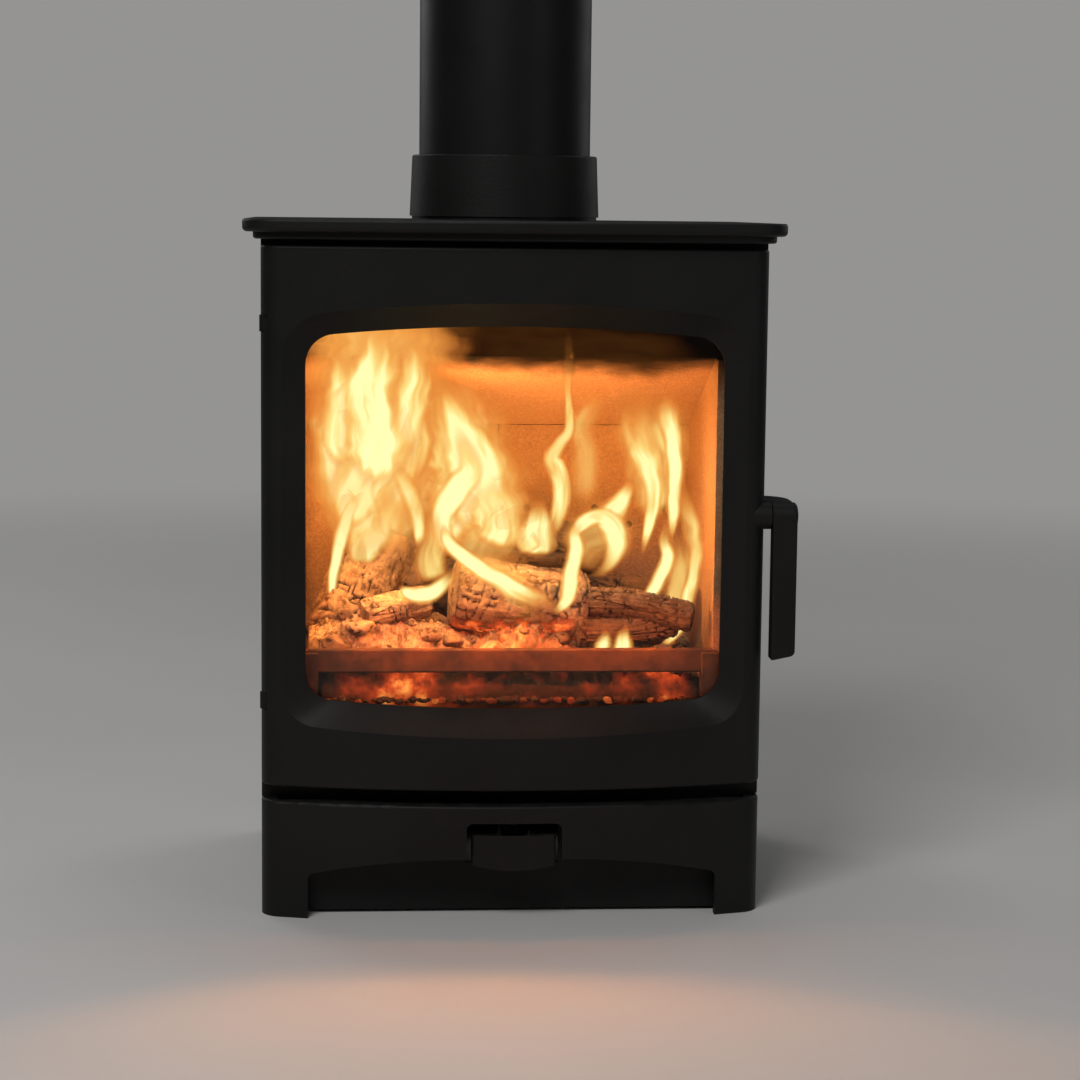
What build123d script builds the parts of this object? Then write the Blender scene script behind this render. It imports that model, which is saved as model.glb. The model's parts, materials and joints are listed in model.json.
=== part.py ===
from build123d import *
from math import cos, radians, sin, sqrt
import os

# A small free-standing wood burning stove: a steel firebox on a cast base, a cast bowed door with
# a flat glass, a lift handle, a pull-out air control and a top flue collar with its first pipe.
# Millimetres. The origin is on the floor in the middle of the body: -Y is the front, +Z is up.

os.makedirs("parts", exist_ok=True)

# ---- driving dimensions -------------------------------------------------------------------------
HALF_WIDTH = 217.0              # body, door and base
DOOR_CORNER_Y = -165.0          # where the bowed front meets the rounded corners
BOW_DEPTH = 24.0                # how far the middle of the front stands proud of the corners
BOW_RADIUS = 760.0
FRONT_Y = DOOR_CORNER_Y - BOW_DEPTH
BACK_Y = 165.0
CORNER_RADIUS = 20.0

BASE_TOP = 102.0
BODY_TOP = 583.0
PLATE_TOP = 600.0
PLATE_EDGE = 11.0               # height of the top plate's visible edge
PLATE_OVERHANG = 15.5
PLATE_MOULDING = 9.0            # inset of the moulding under the plate's edge

DOOR_BOTTOM, DOOR_TOP = 115.0, 578.0
DOOR_BACK_Y = DOOR_CORNER_Y + 22.0
FRAME_Y = DOOR_BACK_Y + 4.0     # front face of the body; the rope seal fills the gap to the door
FRAME_THICK = 10.0
SHEET = 4.0

OPENING_HALF = HALF_WIDTH - 32.0   # door opening in the body
OPENING_BOTTOM, OPENING_TOP = 130.0, 555.0

WINDOW_HALF = 179.0
WINDOW_BOTTOM, WINDOW_TOP = 181.0, 511.0
WINDOW_ARCH = 10.0              # the window's top and bottom edges are this much arched
WINDOW_CORNER = 26.0
BEVEL_HALF = 201.3
BEVEL_BOTTOM, BEVEL_TOP = 160.5, 532.3
BEVEL_ARCH, BEVEL_LOW_ARCH = 14.0, 9.0
BEVEL_CORNER, BEVEL_LOW_CORNER = 44.0, 32.0
LIP_Y = -156.0                  # inner rim of the bevel
GLASS_SEAT_Y = -153.0
GASKET_THICK = 2.0
GLASS_THICK = 4.0
GLASS_MARGIN = 9.5

FLUE_Y = DOOR_CORNER_Y + 200.0
PIPE_BORE_R = 75.0              # 150 mm nominal flue
PIPE_R = 78.0
PIPE_TOP = 870.0
COLLAR_TOP = 658.0
COLLAR_SHELF = 612.0
COLLAR_R_BOTTOM, COLLAR_R_TOP = 86.5, 84.3
COLLAR_SOCKET_R = 81.0

HINGE_X, HINGE_Y = 5.0 - HALF_WIDTH, DOOR_BACK_Y - 3.0
HINGE_SCREW_X = 5.75 - HALF_WIDTH
HINGE_HEIGHTS = {"upper": 512.0, "lower": 188.0}
KNUCKLE_R, KNUCKLE_HEIGHT = 6.2, 14.0
HINGE_PIN_R, HINGE_PIN_LENGTH = 3.0, 38.0
RUNNING = 0.05                  # radial clearance of pins and spindle

HANDLE_Y, HANDLE_Z = DOOR_CORNER_Y + 16.0, 349.0
BARREL_R = 11.75
BOSS_END, BARREL_START, BARREL_END = HALF_WIDTH + 5.5, HALF_WIDTH + 6.0, HALF_WIDTH + 28.2
GRIP_LEFT, GRIP_RIGHT = HALF_WIDTH + 6.3, HALF_WIDTH + 27.6
GRIP_BOTTOM = 223.0
SPINDLE_R = 5.0

KEEP_FRONT, KEEP_BACK = DOOR_CORNER_Y + 29.0, DOOR_CORNER_Y + 74.0
KEEP_TOP, KEEP_BOTTOM = HANDLE_Z + 11.5, HANDLE_Z - 13.0
KEEP_RIGHT = HALF_WIDTH + 26.0
NOSE_REACH = 40.0

BRICK_THICK = 25.0
FIREBOX_HALF = 181.0
FIREBOX_BACK = DOOR_CORNER_Y + 250.0
FIREBED_Z = 168.0               # top of the plate that carries the bricks and the grate
BRICK_TOP = 408.0               # at the back; the side bricks rise from there to the baffle's front
GRATE_HALF_X, GRATE_FRONT, GRATE_BACK = 150.0, -92.0, 72.0

GUARD_BOTTOM, GUARD_TOP = 206.0, 227.0
GUARD_HALF = 178.5
GUARD_FRONT = -118.0
GUARD_THICK = 8.0

TAB_HALF, TAB_BOTTOM, TAB_TOP = 36.0, 50.0, 76.0
TAB_FRONT = FRONT_Y + 1.5
NOTCH_HALF, NOTCH_TOP = 41.0, 87.0
PLINTH_Y = -150.0

# ---- values that follow from the ones above -------------------------------------------------------
DUCT_Y = FIREBOX_BACK + BRICK_THICK
SIDE_BRICK_FRONT = -100.0
BAFFLE_FRONT, BAFFLE_RISE = -85.0, 73.0
AIR_HOLE_R = 3.5
AIR_PORTS_X = (-60, -20, 20, 60)
SLIDE_Z = 84.0
ROD_Z = 60.0
COLLAR_BOLT_R = 3.0
REAR_OUTLET_Z = 470.0
ROPE_HALF, ROPE_WIDTH = HALF_WIDTH - 18.0, 8.0
ROPE_BOTTOM, ROPE_TOP = DOOR_BOTTOM + 10, DOOR_TOP - 16
CLIP_Y, CLIP_SCREW_R = GLASS_SEAT_Y + GASKET_THICK + GLASS_THICK, 2.5
NOSE_X, NOSE_HALF_HEIGHT = HALF_WIDTH + 14.5, 4.0
KEEP_MIDDLE_Z = (KEEP_TOP + KEEP_BOTTOM) / 2
KEEP_SCREWS_Y = (KEEP_FRONT + 14, KEEP_BACK - 12)
KEEP_PIN_Y, KEEP_PIN_Z, KEEP_PIN_R = HANDLE_Y + NOSE_REACH + 4.5, HANDLE_Z - 1.5, 2.5


# ---- helpers ------------------------------------------------------------------------------------
def block(x0, x1, y0, y1, z0, z1):
    return Pos((x0 + x1) / 2, (y0 + y1) / 2, (z0 + z1) / 2) * Box(x1 - x0, y1 - y0, z1 - z0)


def rod(axis, centre, start, end, radius):
    """A round bar along axis from start to end; centre is its two other coordinates."""
    middle = (start + end) / 2
    turn = {"x": Rot(0, 90, 0), "y": Rot(90, 0, 0), "z": Rot(0, 0, 0)}[axis]
    place = {
        "x": (middle, centre[0], centre[1]),
        "y": (centre[0], middle, centre[1]),
        "z": (centre[0], centre[1], middle),
    }[axis]
    return Pos(*place) * turn * Cylinder(radius, end - start)


def bowed_plan(half_width, front, back, bow, corner=0.0, back_corner=0.0):
    """The plan of a body whose front edge is an arc of radius bow, with rounded corners."""
    side = front + bow - sqrt(bow**2 - half_width**2)
    arc = ThreePointArc((-half_width, side), (0, front), (half_width, side))
    rest = Polyline((half_width, side), (half_width, back), (-half_width, back), (-half_width, side))
    plan = make_face(arc + rest)
    if corner:
        plan = fillet(plan.vertices().sort_by(Axis.Y)[:2], corner)
    if back_corner:
        plan = fillet(plan.vertices().sort_by(Axis.Y)[-2:], back_corner)
    return plan


def bowed_solid(half_width, front, back, bow, z0, z1, corner=0.0, back_corner=0.0):
    plan = bowed_plan(half_width, front, back, bow, corner, back_corner)
    return Pos(0, 0, z0) * extrude(plan, amount=z1 - z0)


def arched_outline(half_width, bottom, top, arch, corner, low_arch=None, low_corner=None):
    """A window shape in X and Z: upright sides, arched top and bottom, rounded corners."""
    foot = bottom + (low_arch or arch)
    low = ThreePointArc((-half_width, foot), (0, bottom), (half_width, foot))
    high = ThreePointArc((half_width, top - arch), (0, top), (-half_width, top - arch))
    right = Line((half_width, foot), (half_width, top - arch))
    left = Line((-half_width, top - arch), (-half_width, foot))
    face = fillet(make_face(low + right + high + left).vertices().sort_by(Axis.Y)[-2:], corner)
    return fillet(face.vertices().sort_by(Axis.Y)[:2], low_corner or corner)


def upright(face, y0, y1):
    """A face drawn in X and Z, extruded from y0 to y1."""
    return Pos(0, y0, 0) * extrude(Plane.XZ * face, amount=-(y1 - y0))


def front_band(solid, axis, low, high):
    """The edges of a solid whose centres lie between low and high along axis."""
    return solid.edges().filter_by(lambda edge: low <= getattr(edge.center(), axis) <= high)


def save(name, shape):
    export_step(shape, f"parts/{name}.step")


def group(solids):
    return Compound(children=[part for solid in solids for part in solid.solids()])


# ---- base ---------------------------------------------------------------------------------------
def base_frame():
    """One casting: bowed front with two legs and an arch, side and back skirts, and a top ledge."""
    wall, front_wall, ledge_back = 8.0, 10.0, -155.0
    outside = bowed_solid(HALF_WIDTH, FRONT_Y, BACK_Y, BOW_RADIUS, 0, BASE_TOP, CORNER_RADIUS, 6)
    top_edges = front_band(outside, "Z", BASE_TOP - 0.1, BASE_TOP + 0.1)
    outside = fillet(top_edges.filter_by(lambda edge: edge.center().Y < 0), 2.5)
    hollow = bowed_solid(HALF_WIDTH - wall, FRONT_Y + front_wall, BACK_Y - wall,
                         BOW_RADIUS - front_wall, -1, BASE_TOP - 14, 12)
    groove = block(-HALF_WIDTH + 14, HALF_WIDTH - 14, ledge_back, FRAME_Y - 1, BASE_TOP - 10, BASE_TOP + 1)
    well = block(-HALF_WIDTH + 30, HALF_WIDTH - 30, -115, BACK_Y - 30, BASE_TOP - 20, BASE_TOP + 1)
    leg_inner, arch_low, arch_high = HALF_WIDTH - 40, 39.0, 55.5
    arch = make_face(
        Polyline((-NOTCH_HALF, arch_high), (-NOTCH_HALF, -2), (-leg_inner, -2), (-leg_inner, arch_low))
        + ThreePointArc((-leg_inner, arch_low), (-leg_inner / 2 - 22, arch_high - 4.5),
                        (-NOTCH_HALF, arch_high))
    )
    arch = fillet(arch.vertices().sort_by(Axis.X)[:2].sort_by(Axis.Y)[-1:], 7)
    notch = Pos(0, (NOTCH_TOP - 2) / 2) * Rectangle(2 * NOTCH_HALF, NOTCH_TOP + 2)
    notch = fillet(notch.vertices().sort_by(Axis.Y)[-2:], 6)
    cutter = arch + mirror(arch, about=Plane.YZ) + notch
    opening = upright(cutter, FRONT_Y - 5, ledge_back + 3)
    vents = [
        upright(Pos(x, 55) * SlotOverall(90, 26), BACK_Y - wall - 2, BACK_Y + 2) for x in (-110, 0, 110)
    ]
    shape = outside - hollow - groove - well - opening
    for vent in vents:
        shape -= vent
    return shape


def plinth_panel():
    """The dark recessed sheet behind the arch, with a hole for the air control."""
    half = HALF_WIDTH - 15
    sheet = block(-half, half, PLINTH_Y, PLINTH_Y + SHEET, 3, BASE_TOP - 16)
    hole = block(-NOTCH_HALF, NOTCH_HALF, PLINTH_Y - 1, PLINTH_Y + SHEET + 1, TAB_BOTTOM - 6, TAB_TOP + 6)
    return sheet - hole


# ---- body ---------------------------------------------------------------------------------------
def front_frame():
    """The cast face of the body, with the door opening and pockets for the hinge feet."""
    frame = block(-HALF_WIDTH, HALF_WIDTH, FRAME_Y, FRAME_Y + FRAME_THICK, BASE_TOP, BODY_TOP)
    opening = upright(
        Pos(0, (OPENING_BOTTOM + OPENING_TOP) / 2)
        * RectangleRounded(2 * OPENING_HALF, OPENING_TOP - OPENING_BOTTOM, 10),
        FRAME_Y - 1, FRAME_Y + FRAME_THICK + 1,
    )
    frame -= opening
    for height in HINGE_HEIGHTS.values():
        frame -= block(-HALF_WIDTH - 1, 11.5 - HALF_WIDTH, FRAME_Y - 1, FRAME_Y + 6, height - 20, height + 20)
        for offset in (-15, 15):
            frame -= rod("y", (HINGE_SCREW_X, height + offset), FRAME_Y, FRAME_Y + FRAME_THICK + 1, 2.0)
    return frame


def side_panel(side):
    x = sorted((side * HALF_WIDTH, side * (HALF_WIDTH - SHEET)))
    panel = block(*x, FRAME_Y + FRAME_THICK, BACK_Y, BASE_TOP, BODY_TOP)
    if side > 0:
        for y in KEEP_SCREWS_Y:
            panel -= rod("x", (y, KEEP_MIDDLE_Z), HALF_WIDTH - SHEET - 1, HALF_WIDTH + 1, 2.2)
    return panel


def back_panel():
    inner = HALF_WIDTH - SHEET
    panel = block(-inner, inner, BACK_Y - SHEET, BACK_Y, BASE_TOP, BODY_TOP)
    panel -= rod("y", (0, REAR_OUTLET_Z), BACK_Y - SHEET - 1, BACK_Y + 1, PIPE_BORE_R)
    for x, z in rear_bolt_places():
        panel -= rod("y", (x, z), BACK_Y - SHEET - 1, BACK_Y + 1, 3.2)
    return panel


def floor_plate():
    """The sealed floor of the ash space, with the port that lets air up from the valve."""
    inner = HALF_WIDTH - SHEET
    plate = block(-inner, inner, FRAME_Y + FRAME_THICK, BACK_Y - SHEET, BASE_TOP + 20, BASE_TOP + 26)
    for x in AIR_PORTS_X:
        plate -= upright_slot(x, 0, BASE_TOP + 19, BASE_TOP + 27)
    return plate


def upright_slot(x, y, z0, z1):
    return Pos(x, y, z0) * extrude(SlotOverall(60, 16, rotation=90), amount=z1 - z0)


def hearth_plate():
    """Carries the bricks and the grate; the hole under the grate drops the ash into the pan."""
    inner = HALF_WIDTH - SHEET
    plate = block(-inner, inner, FRAME_Y + FRAME_THICK, DUCT_Y, FIREBED_Z - 8, FIREBED_Z)
    hole = block(-GRATE_HALF_X + 10, GRATE_HALF_X - 10, GRATE_FRONT + 8, GRATE_BACK - 8,
                 FIREBED_Z - 9, FIREBED_Z + 1)
    return plate - hole


def grate():
    """A cast grate of straight slots inside a plain rim."""
    thick, slot_width, pitch = 8.0, 9.0, 19.0
    plate = block(-GRATE_HALF_X, GRATE_HALF_X, GRATE_FRONT, GRATE_BACK, FIREBED_Z, FIREBED_Z + thick)
    length = GRATE_BACK - GRATE_FRONT - 36
    middle = (GRATE_BACK + GRATE_FRONT) / 2
    slot = extrude(SlotOverall(length, slot_width, rotation=90), amount=thick + 2)
    for index in range(-6, 7):
        plate -= Pos(index * pitch, middle, FIREBED_Z - 1) * slot
    return plate


def ash_pan():
    """A folded tray with a small pull lip at the front."""
    wall = 1.5
    x, y0, y1, z0, z1 = 134.0, -122.0, 66.0, BASE_TOP + 29, FIREBED_Z - 10
    tray = block(-x, x, y0, y1, z0, z1)
    tray -= block(-x + wall, x - wall, y0 + wall, y1 - wall, z0 + wall, z1 + 1)
    lip = block(-30, 30, y0 - 5, y0, z1 - 12, z1 - 10)
    return tray + lip


def duct_plate():
    """The inner back wall; the space behind it carries heated air to the holes in the bricks."""
    inner = HALF_WIDTH - SHEET
    plate = block(-inner, inner, DUCT_Y, DUCT_Y + SHEET, BASE_TOP + 26, BODY_TOP)
    for x, z in air_hole_places():
        plate -= rod("y", (x, z), DUCT_Y - 1, DUCT_Y + SHEET + 1, AIR_HOLE_R)
    return plate


def air_hole_places():
    """A zigzag row of small holes across the back, mirrored about the middle."""
    spacing, first = 32.5, 27.0
    right = [(first + index * spacing, 329.0 - 16.0 * (index % 2)) for index in range(5)]
    return right + [(-x, z) for x, z in right]


def back_brick(side):
    gap, edge = 0.4, FIREBOX_HALF + BRICK_THICK
    x = sorted((side * gap, side * edge))
    brick = block(*x, FIREBOX_BACK, FIREBOX_BACK + BRICK_THICK, FIREBED_Z, BRICK_TOP)
    for x_hole, z in air_hole_places():
        if x_hole * side > 0:
            brick -= rod("y", (x_hole, z), FIREBOX_BACK - 1, FIREBOX_BACK + BRICK_THICK + 1, AIR_HOLE_R)
    return brick


def side_brick(side):
    """An upright brick whose top slopes up to the front to carry the baffle."""
    profile = make_face(Polyline(
        (SIDE_BRICK_FRONT, FIREBED_Z), (FIREBOX_BACK - 0.4, FIREBED_Z), (FIREBOX_BACK - 0.4, BRICK_TOP),
        (BAFFLE_FRONT, BRICK_TOP + BAFFLE_RISE), (SIDE_BRICK_FRONT, BRICK_TOP + BAFFLE_RISE),
        (SIDE_BRICK_FRONT, FIREBED_Z),
    ))
    brick = extrude(Plane.YZ * profile, amount=BRICK_THICK)
    return Pos(FIREBOX_HALF if side > 0 else -FIREBOX_HALF - BRICK_THICK, 0, 0) * brick


def baffle_plate():
    """The sloping plate that sends the smoke round its front edge on the way to the flue."""
    thick = 20.0
    lift = 0.5
    profile = make_face(Polyline(
        (FIREBOX_BACK - 0.4, BRICK_TOP + lift), (BAFFLE_FRONT, BRICK_TOP + BAFFLE_RISE + lift),
        (BAFFLE_FRONT, BRICK_TOP + BAFFLE_RISE + thick), (FIREBOX_BACK - 0.4, BRICK_TOP + thick),
        (FIREBOX_BACK - 0.4, BRICK_TOP + lift),
    ))
    half = FIREBOX_HALF + BRICK_THICK
    return Pos(-half, 0, 0) * extrude(Plane.YZ * profile, amount=2 * half)


def airwash_strip():
    """A folded steel strip above the door opening that throws clean air down the glass."""
    flange = block(-170, 170, FRAME_Y + FRAME_THICK, FRAME_Y + FRAME_THICK + 3, OPENING_TOP + 2, BODY_TOP - 6)
    hood = block(-170, 170, FRAME_Y + FRAME_THICK, FRAME_Y + FRAME_THICK + 26,
                 OPENING_TOP - 1, OPENING_TOP + 2)
    return flange + hood


def guard_bracket(side):
    """An upright channel on the front edge of the side brick; the log guard drops into it."""
    x0, x1 = sorted((side * (GUARD_HALF - 10), side * (GUARD_HALF + 5)))
    y0, y1 = GUARD_FRONT - 6, GUARD_FRONT + GUARD_THICK + 6
    bracket = block(x0, x1, y0, y1, FIREBED_Z, GUARD_TOP - 3)
    slot_x0, slot_x1 = sorted((side * (GUARD_HALF - 12), side * (GUARD_HALF + 1)))
    slot = block(slot_x0, slot_x1, GUARD_FRONT - 0.5, GUARD_FRONT + GUARD_THICK + 0.5,
                 GUARD_BOTTOM - 0.5, GUARD_TOP)
    return bracket - slot


def log_guard():
    """The bar that keeps the logs off the glass; it lifts straight up out of its brackets."""
    bar = block(-GUARD_HALF, GUARD_HALF, GUARD_FRONT, GUARD_FRONT + GUARD_THICK, GUARD_BOTTOM, GUARD_TOP)
    return fillet(bar.edges().filter_by(Axis.X), 2.0)


# ---- top ----------------------------------------------------------------------------------------
def top_plate():
    """A cast plate with a rounded edge, a moulding under it and the flue hole."""
    half, back = HALF_WIDTH + PLATE_OVERHANG, BACK_Y + 5
    front, bow = FRONT_Y - PLATE_OVERHANG, BOW_RADIUS + PLATE_OVERHANG
    slab = bowed_solid(half, front, back, bow, PLATE_TOP - PLATE_EDGE, PLATE_TOP, 34, 14)
    slab = fillet(front_band(slab, "Z", PLATE_TOP - 0.1, PLATE_TOP + 0.1), 2.5)
    slab = fillet(front_band(slab, "Z", PLATE_TOP - PLATE_EDGE - 0.1, PLATE_TOP - PLATE_EDGE + 0.1), 4.0)
    inset = PLATE_MOULDING
    moulding = bowed_solid(half - inset, front + inset, back - inset, bow - inset, BODY_TOP,
                           PLATE_TOP - PLATE_EDGE, 26, 8)
    moulding = fillet(front_band(moulding, "Z", BODY_TOP - 0.1, BODY_TOP + 0.1), 2.5)
    plate = slab + moulding
    plate -= rod("z", (0, FLUE_Y), BODY_TOP - 1, PLATE_TOP + 1, PIPE_BORE_R)
    for x, y in collar_bolt_places():
        plate -= rod("z", (x, y), BODY_TOP - 1, PLATE_TOP + 1, COLLAR_BOLT_R + 0.3)
    return plate


def collar_bolt_places():
    ring = (PIPE_BORE_R + COLLAR_R_BOTTOM) / 2
    return [(ring * cos(radians(a)), FLUE_Y + ring * sin(radians(a))) for a in (30, 150, 270)]


def flue_collar():
    """The cast ring that the flue pipe stands in, on a narrow foot."""
    foot = rod("z", (0, FLUE_Y), PLATE_TOP, PLATE_TOP + 3, COLLAR_R_BOTTOM - 2)
    body = Pos(0, FLUE_Y, (PLATE_TOP + 3 + COLLAR_TOP) / 2) * Cone(
        COLLAR_R_BOTTOM, COLLAR_R_TOP, COLLAR_TOP - PLATE_TOP - 3)
    rim = body.edges().filter_by(GeomType.CIRCLE).sort_by(Axis.Z)[-1:]
    body = fillet(rim, 1.5)
    collar = foot + body
    collar -= rod("z", (0, FLUE_Y), PLATE_TOP - 1, COLLAR_TOP + 1, PIPE_BORE_R)
    collar -= rod("z", (0, FLUE_Y), COLLAR_SHELF, COLLAR_TOP + 1, COLLAR_SOCKET_R)
    for x, y in collar_bolt_places():
        collar -= rod("z", (x, y), PLATE_TOP - 1, PLATE_TOP + 9, COLLAR_BOLT_R)
    return collar


def collar_bolts():
    bolts = []
    for x, y in collar_bolt_places():
        shank = rod("z", (x, y), BODY_TOP, PLATE_TOP + 8.5, COLLAR_BOLT_R)
        head = Pos(x, y, BODY_TOP - 4.5) * extrude(RegularPolygon(5.0, 6), amount=4.5)
        bolts.append(shank + head)
    return group(bolts)


def flue_pipe():
    """The first length of 150 mm flue pipe, open at both ends, with a rolled bead near its foot."""
    tube = rod("z", (0, FLUE_Y), COLLAR_SHELF, PIPE_TOP, PIPE_R)
    return tube - rod("z", (0, FLUE_Y), COLLAR_SHELF - 1, PIPE_TOP + 1, PIPE_BORE_R)


def pipe_seal():
    """Rope and cement packed between the pipe and the collar."""
    ring = rod("z", (0, FLUE_Y), COLLAR_TOP - 22, COLLAR_TOP - 2.5, COLLAR_SOCKET_R)
    return ring - rod("z", (0, FLUE_Y), COLLAR_TOP - 23, COLLAR_TOP, PIPE_R)


# ---- back ---------------------------------------------------------------------------------------
def rear_bolt_places():
    ring = PIPE_BORE_R + 11
    return [(ring * cos(radians(a)), REAR_OUTLET_Z + ring * sin(radians(a))) for a in (45, 135, 225, 315)]


def rear_cover():
    """The cover over the unused rear flue outlet."""
    disc = rod("y", (0, REAR_OUTLET_Z), BACK_Y, BACK_Y + 4, PIPE_BORE_R + 20)
    disc = fillet(disc.edges().filter_by(GeomType.CIRCLE).sort_by(Axis.Y)[-1:], 1.5)
    disc += rod("y", (0, REAR_OUTLET_Z), BACK_Y - SHEET, BACK_Y, PIPE_BORE_R - 1)
    for x, z in rear_bolt_places():
        disc -= rod("y", (x, z), BACK_Y - 1, BACK_Y + 5, 3.2)
    return disc


def rear_bolts():
    bolts = []
    for x, z in rear_bolt_places():
        shank = rod("y", (x, z), BACK_Y - SHEET - 4, BACK_Y + 4, 3.0)
        hexagon = Plane.XZ * RegularPolygon(5.2, 6)
        head = Pos(x, BACK_Y + 4, z) * extrude(hexagon, amount=-4)
        bolts.append(shank + head)
    return group(bolts)


# ---- door ---------------------------------------------------------------------------------------
def bow_front(half_width, front, back, z0, z1):
    """A block behind the door's bowed surface, moved forward or back with front."""
    return bowed_solid(half_width, front, back, BOW_RADIUS, z0, z1)


def bevel_cutter():
    """The sloping surround of the window: from the flat inner rim out to the bowed front."""
    proud = 1.0
    inner = Pos(0, LIP_Y, 0) * (Plane.XZ * arched_outline(
        WINDOW_HALF, WINDOW_BOTTOM, WINDOW_TOP, WINDOW_ARCH, WINDOW_CORNER))
    outline = arched_outline(BEVEL_HALF, BEVEL_BOTTOM, BEVEL_TOP, BEVEL_ARCH, BEVEL_CORNER,
                             BEVEL_LOW_ARCH, BEVEL_LOW_CORNER)
    bowed = upright(outline, FRONT_Y - 60, LIP_Y) & bow_front(
        BEVEL_HALF + 20, FRONT_Y - proud, LIP_Y, 0, PLATE_TOP)
    cap = bowed.faces().sort_by(Axis.Y)[0]
    rim_in = sorted(inner.faces()[0].outer_wire().edges(), key=around_window)
    rim_out = sorted(cap.outer_wire().edges(), key=around_window)
    slopes = [Face.make_surface_from_curves(a, b) for a, b in zip(rim_in, rim_out)]
    return Solid(Shell([inner.faces()[0], cap] + slopes))


def around_window(edge):
    """The direction of an edge's middle from the window's centre, counted from between two edges."""
    middle = edge @ 0.5
    angle = Vector(middle.X, middle.Z - (WINDOW_BOTTOM + WINDOW_TOP) / 2, 0).get_signed_angle(
        Vector(1, 0, 0))
    return (angle - 200) % 360


def rounded_ring(half_width, bottom, top, width, corner, y0, y1):
    """A flat ring round the door; half_width, bottom and top are its centre line."""
    middle, height = (bottom + top) / 2, top - bottom
    outer = RectangleRounded(2 * half_width + width, height + width, corner + width / 2)
    inner = RectangleRounded(2 * half_width - width, height - width, corner - width / 2)
    return upright(Pos(0, middle) * (outer - inner), y0, y1)


def door_frame():
    """The cast door: bowed front, bevelled window, glass seat, rope groove, boss and hinge slots."""
    door = bowed_solid(HALF_WIDTH, FRONT_Y, DOOR_BACK_Y, BOW_RADIUS, DOOR_BOTTOM, DOOR_TOP,
                       CORNER_RADIUS - 1)
    for height in (DOOR_BOTTOM, DOOR_TOP):
        ends = front_band(door, "Z", height - 0.1, height + 0.1)
        door = fillet(ends.filter_by(lambda edge: edge.center().Y < DOOR_BACK_Y - 1), 2.5)
    for z0, z1 in ((DOOR_BOTTOM + 22, BEVEL_BOTTOM - 8), (BEVEL_TOP + 8, DOOR_TOP - 26)):
        if z1 - z0 > 8:
            door -= bow_front(168, FRONT_Y + 9, DOOR_BACK_Y + 1, z0, z1)
    door -= upright(arched_outline(WINDOW_HALF, WINDOW_BOTTOM, WINDOW_TOP, WINDOW_ARCH, WINDOW_CORNER),
                    FRONT_Y - 5, DOOR_BACK_Y + 5)
    door -= bevel_cutter()
    seat = GLASS_MARGIN + 1.0
    door -= upright(arched_outline(WINDOW_HALF + seat, WINDOW_BOTTOM - seat, WINDOW_TOP + seat,
                                   WINDOW_ARCH, WINDOW_CORNER), GLASS_SEAT_Y, DOOR_BACK_Y + 5)
    door -= rounded_ring(ROPE_HALF, ROPE_BOTTOM, ROPE_TOP, ROPE_WIDTH + 0.2, 14,
                         DOOR_BACK_Y - 4, DOOR_BACK_Y + 1)
    for x, z in clip_places():
        door -= clip_pocket(x, z)
        door -= rod("y", (x, z), DOOR_BACK_Y - 11, DOOR_BACK_Y, CLIP_SCREW_R)
    for height in HINGE_HEIGHTS.values():
        slot = KNUCKLE_HEIGHT / 2 + 0.4
        door -= block(-HALF_WIDTH - 5, 13 - HALF_WIDTH, HINGE_Y - 10, DOOR_BACK_Y + 1, height - slot, height + slot)
        door -= rod("z", (HINGE_X, HINGE_Y), height - 20, height + 20, HINGE_PIN_R + RUNNING)
    boss = rod("x", (HANDLE_Y, HANDLE_Z), HALF_WIDTH - 14, BOSS_END, BARREL_R)
    boss = fillet(boss.edges().filter_by(GeomType.CIRCLE).sort_by(Axis.X)[-1:], 0.8)
    boss &= block(HALF_WIDTH - 20, BOSS_END + 1, HANDLE_Y - 20, DOOR_BACK_Y, HANDLE_Z - 20, HANDLE_Z + 20)
    door += boss
    door -= rod("x", (HANDLE_Y, HANDLE_Z), HALF_WIDTH - 12, BOSS_END + 1, SPINDLE_R + RUNNING)
    return door


def door_glass():
    margin = GLASS_MARGIN
    front = GLASS_SEAT_Y + GASKET_THICK
    pane = upright(arched_outline(WINDOW_HALF + margin, WINDOW_BOTTOM - margin, WINDOW_TOP + margin,
                                  WINDOW_ARCH, WINDOW_CORNER), front, front + GLASS_THICK)
    return pane


def glass_gasket():
    """The flat rope between the glass and the door's lip."""
    def outline(margin):
        return arched_outline(WINDOW_HALF + margin, WINDOW_BOTTOM - margin, WINDOW_TOP + margin,
                              WINDOW_ARCH, WINDOW_CORNER)
    return upright(outline(GLASS_MARGIN) - outline(2.0), GLASS_SEAT_Y, GLASS_SEAT_Y + GASKET_THICK)


def clip_places():
    """Clip screws above and below the glass, two on each edge."""
    out = GLASS_MARGIN + 9
    return [(x, z) for x in (-110, 110) for z in (WINDOW_BOTTOM + 4 - out, WINDOW_TOP - 4 + out)]


def clip_pocket(x, z):
    """Room behind the glass seat's edge for a clip to lie flush with the door's back."""
    inward = 1 if z < (WINDOW_BOTTOM + WINDOW_TOP) / 2 else -1
    low, high = sorted((z - 8 * inward, z + 12 * inward))
    return block(x - 12, x + 12, CLIP_Y, DOOR_BACK_Y + 1, low, high)


def glass_clips():
    """Flat clips that hold the glass against its gasket."""
    clips = []
    for x, z in clip_places():
        inward = 1 if z < (WINDOW_BOTTOM + WINDOW_TOP) / 2 else -1
        low, high = sorted((z - 7.5 * inward, z + 14 * inward))
        clip = block(x - 11.5, x + 11.5, CLIP_Y, CLIP_Y + 2, low, high)
        clips.append(clip - rod("y", (x, z), CLIP_Y - 1, CLIP_Y + 3, CLIP_SCREW_R))
    return group(clips)


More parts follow.
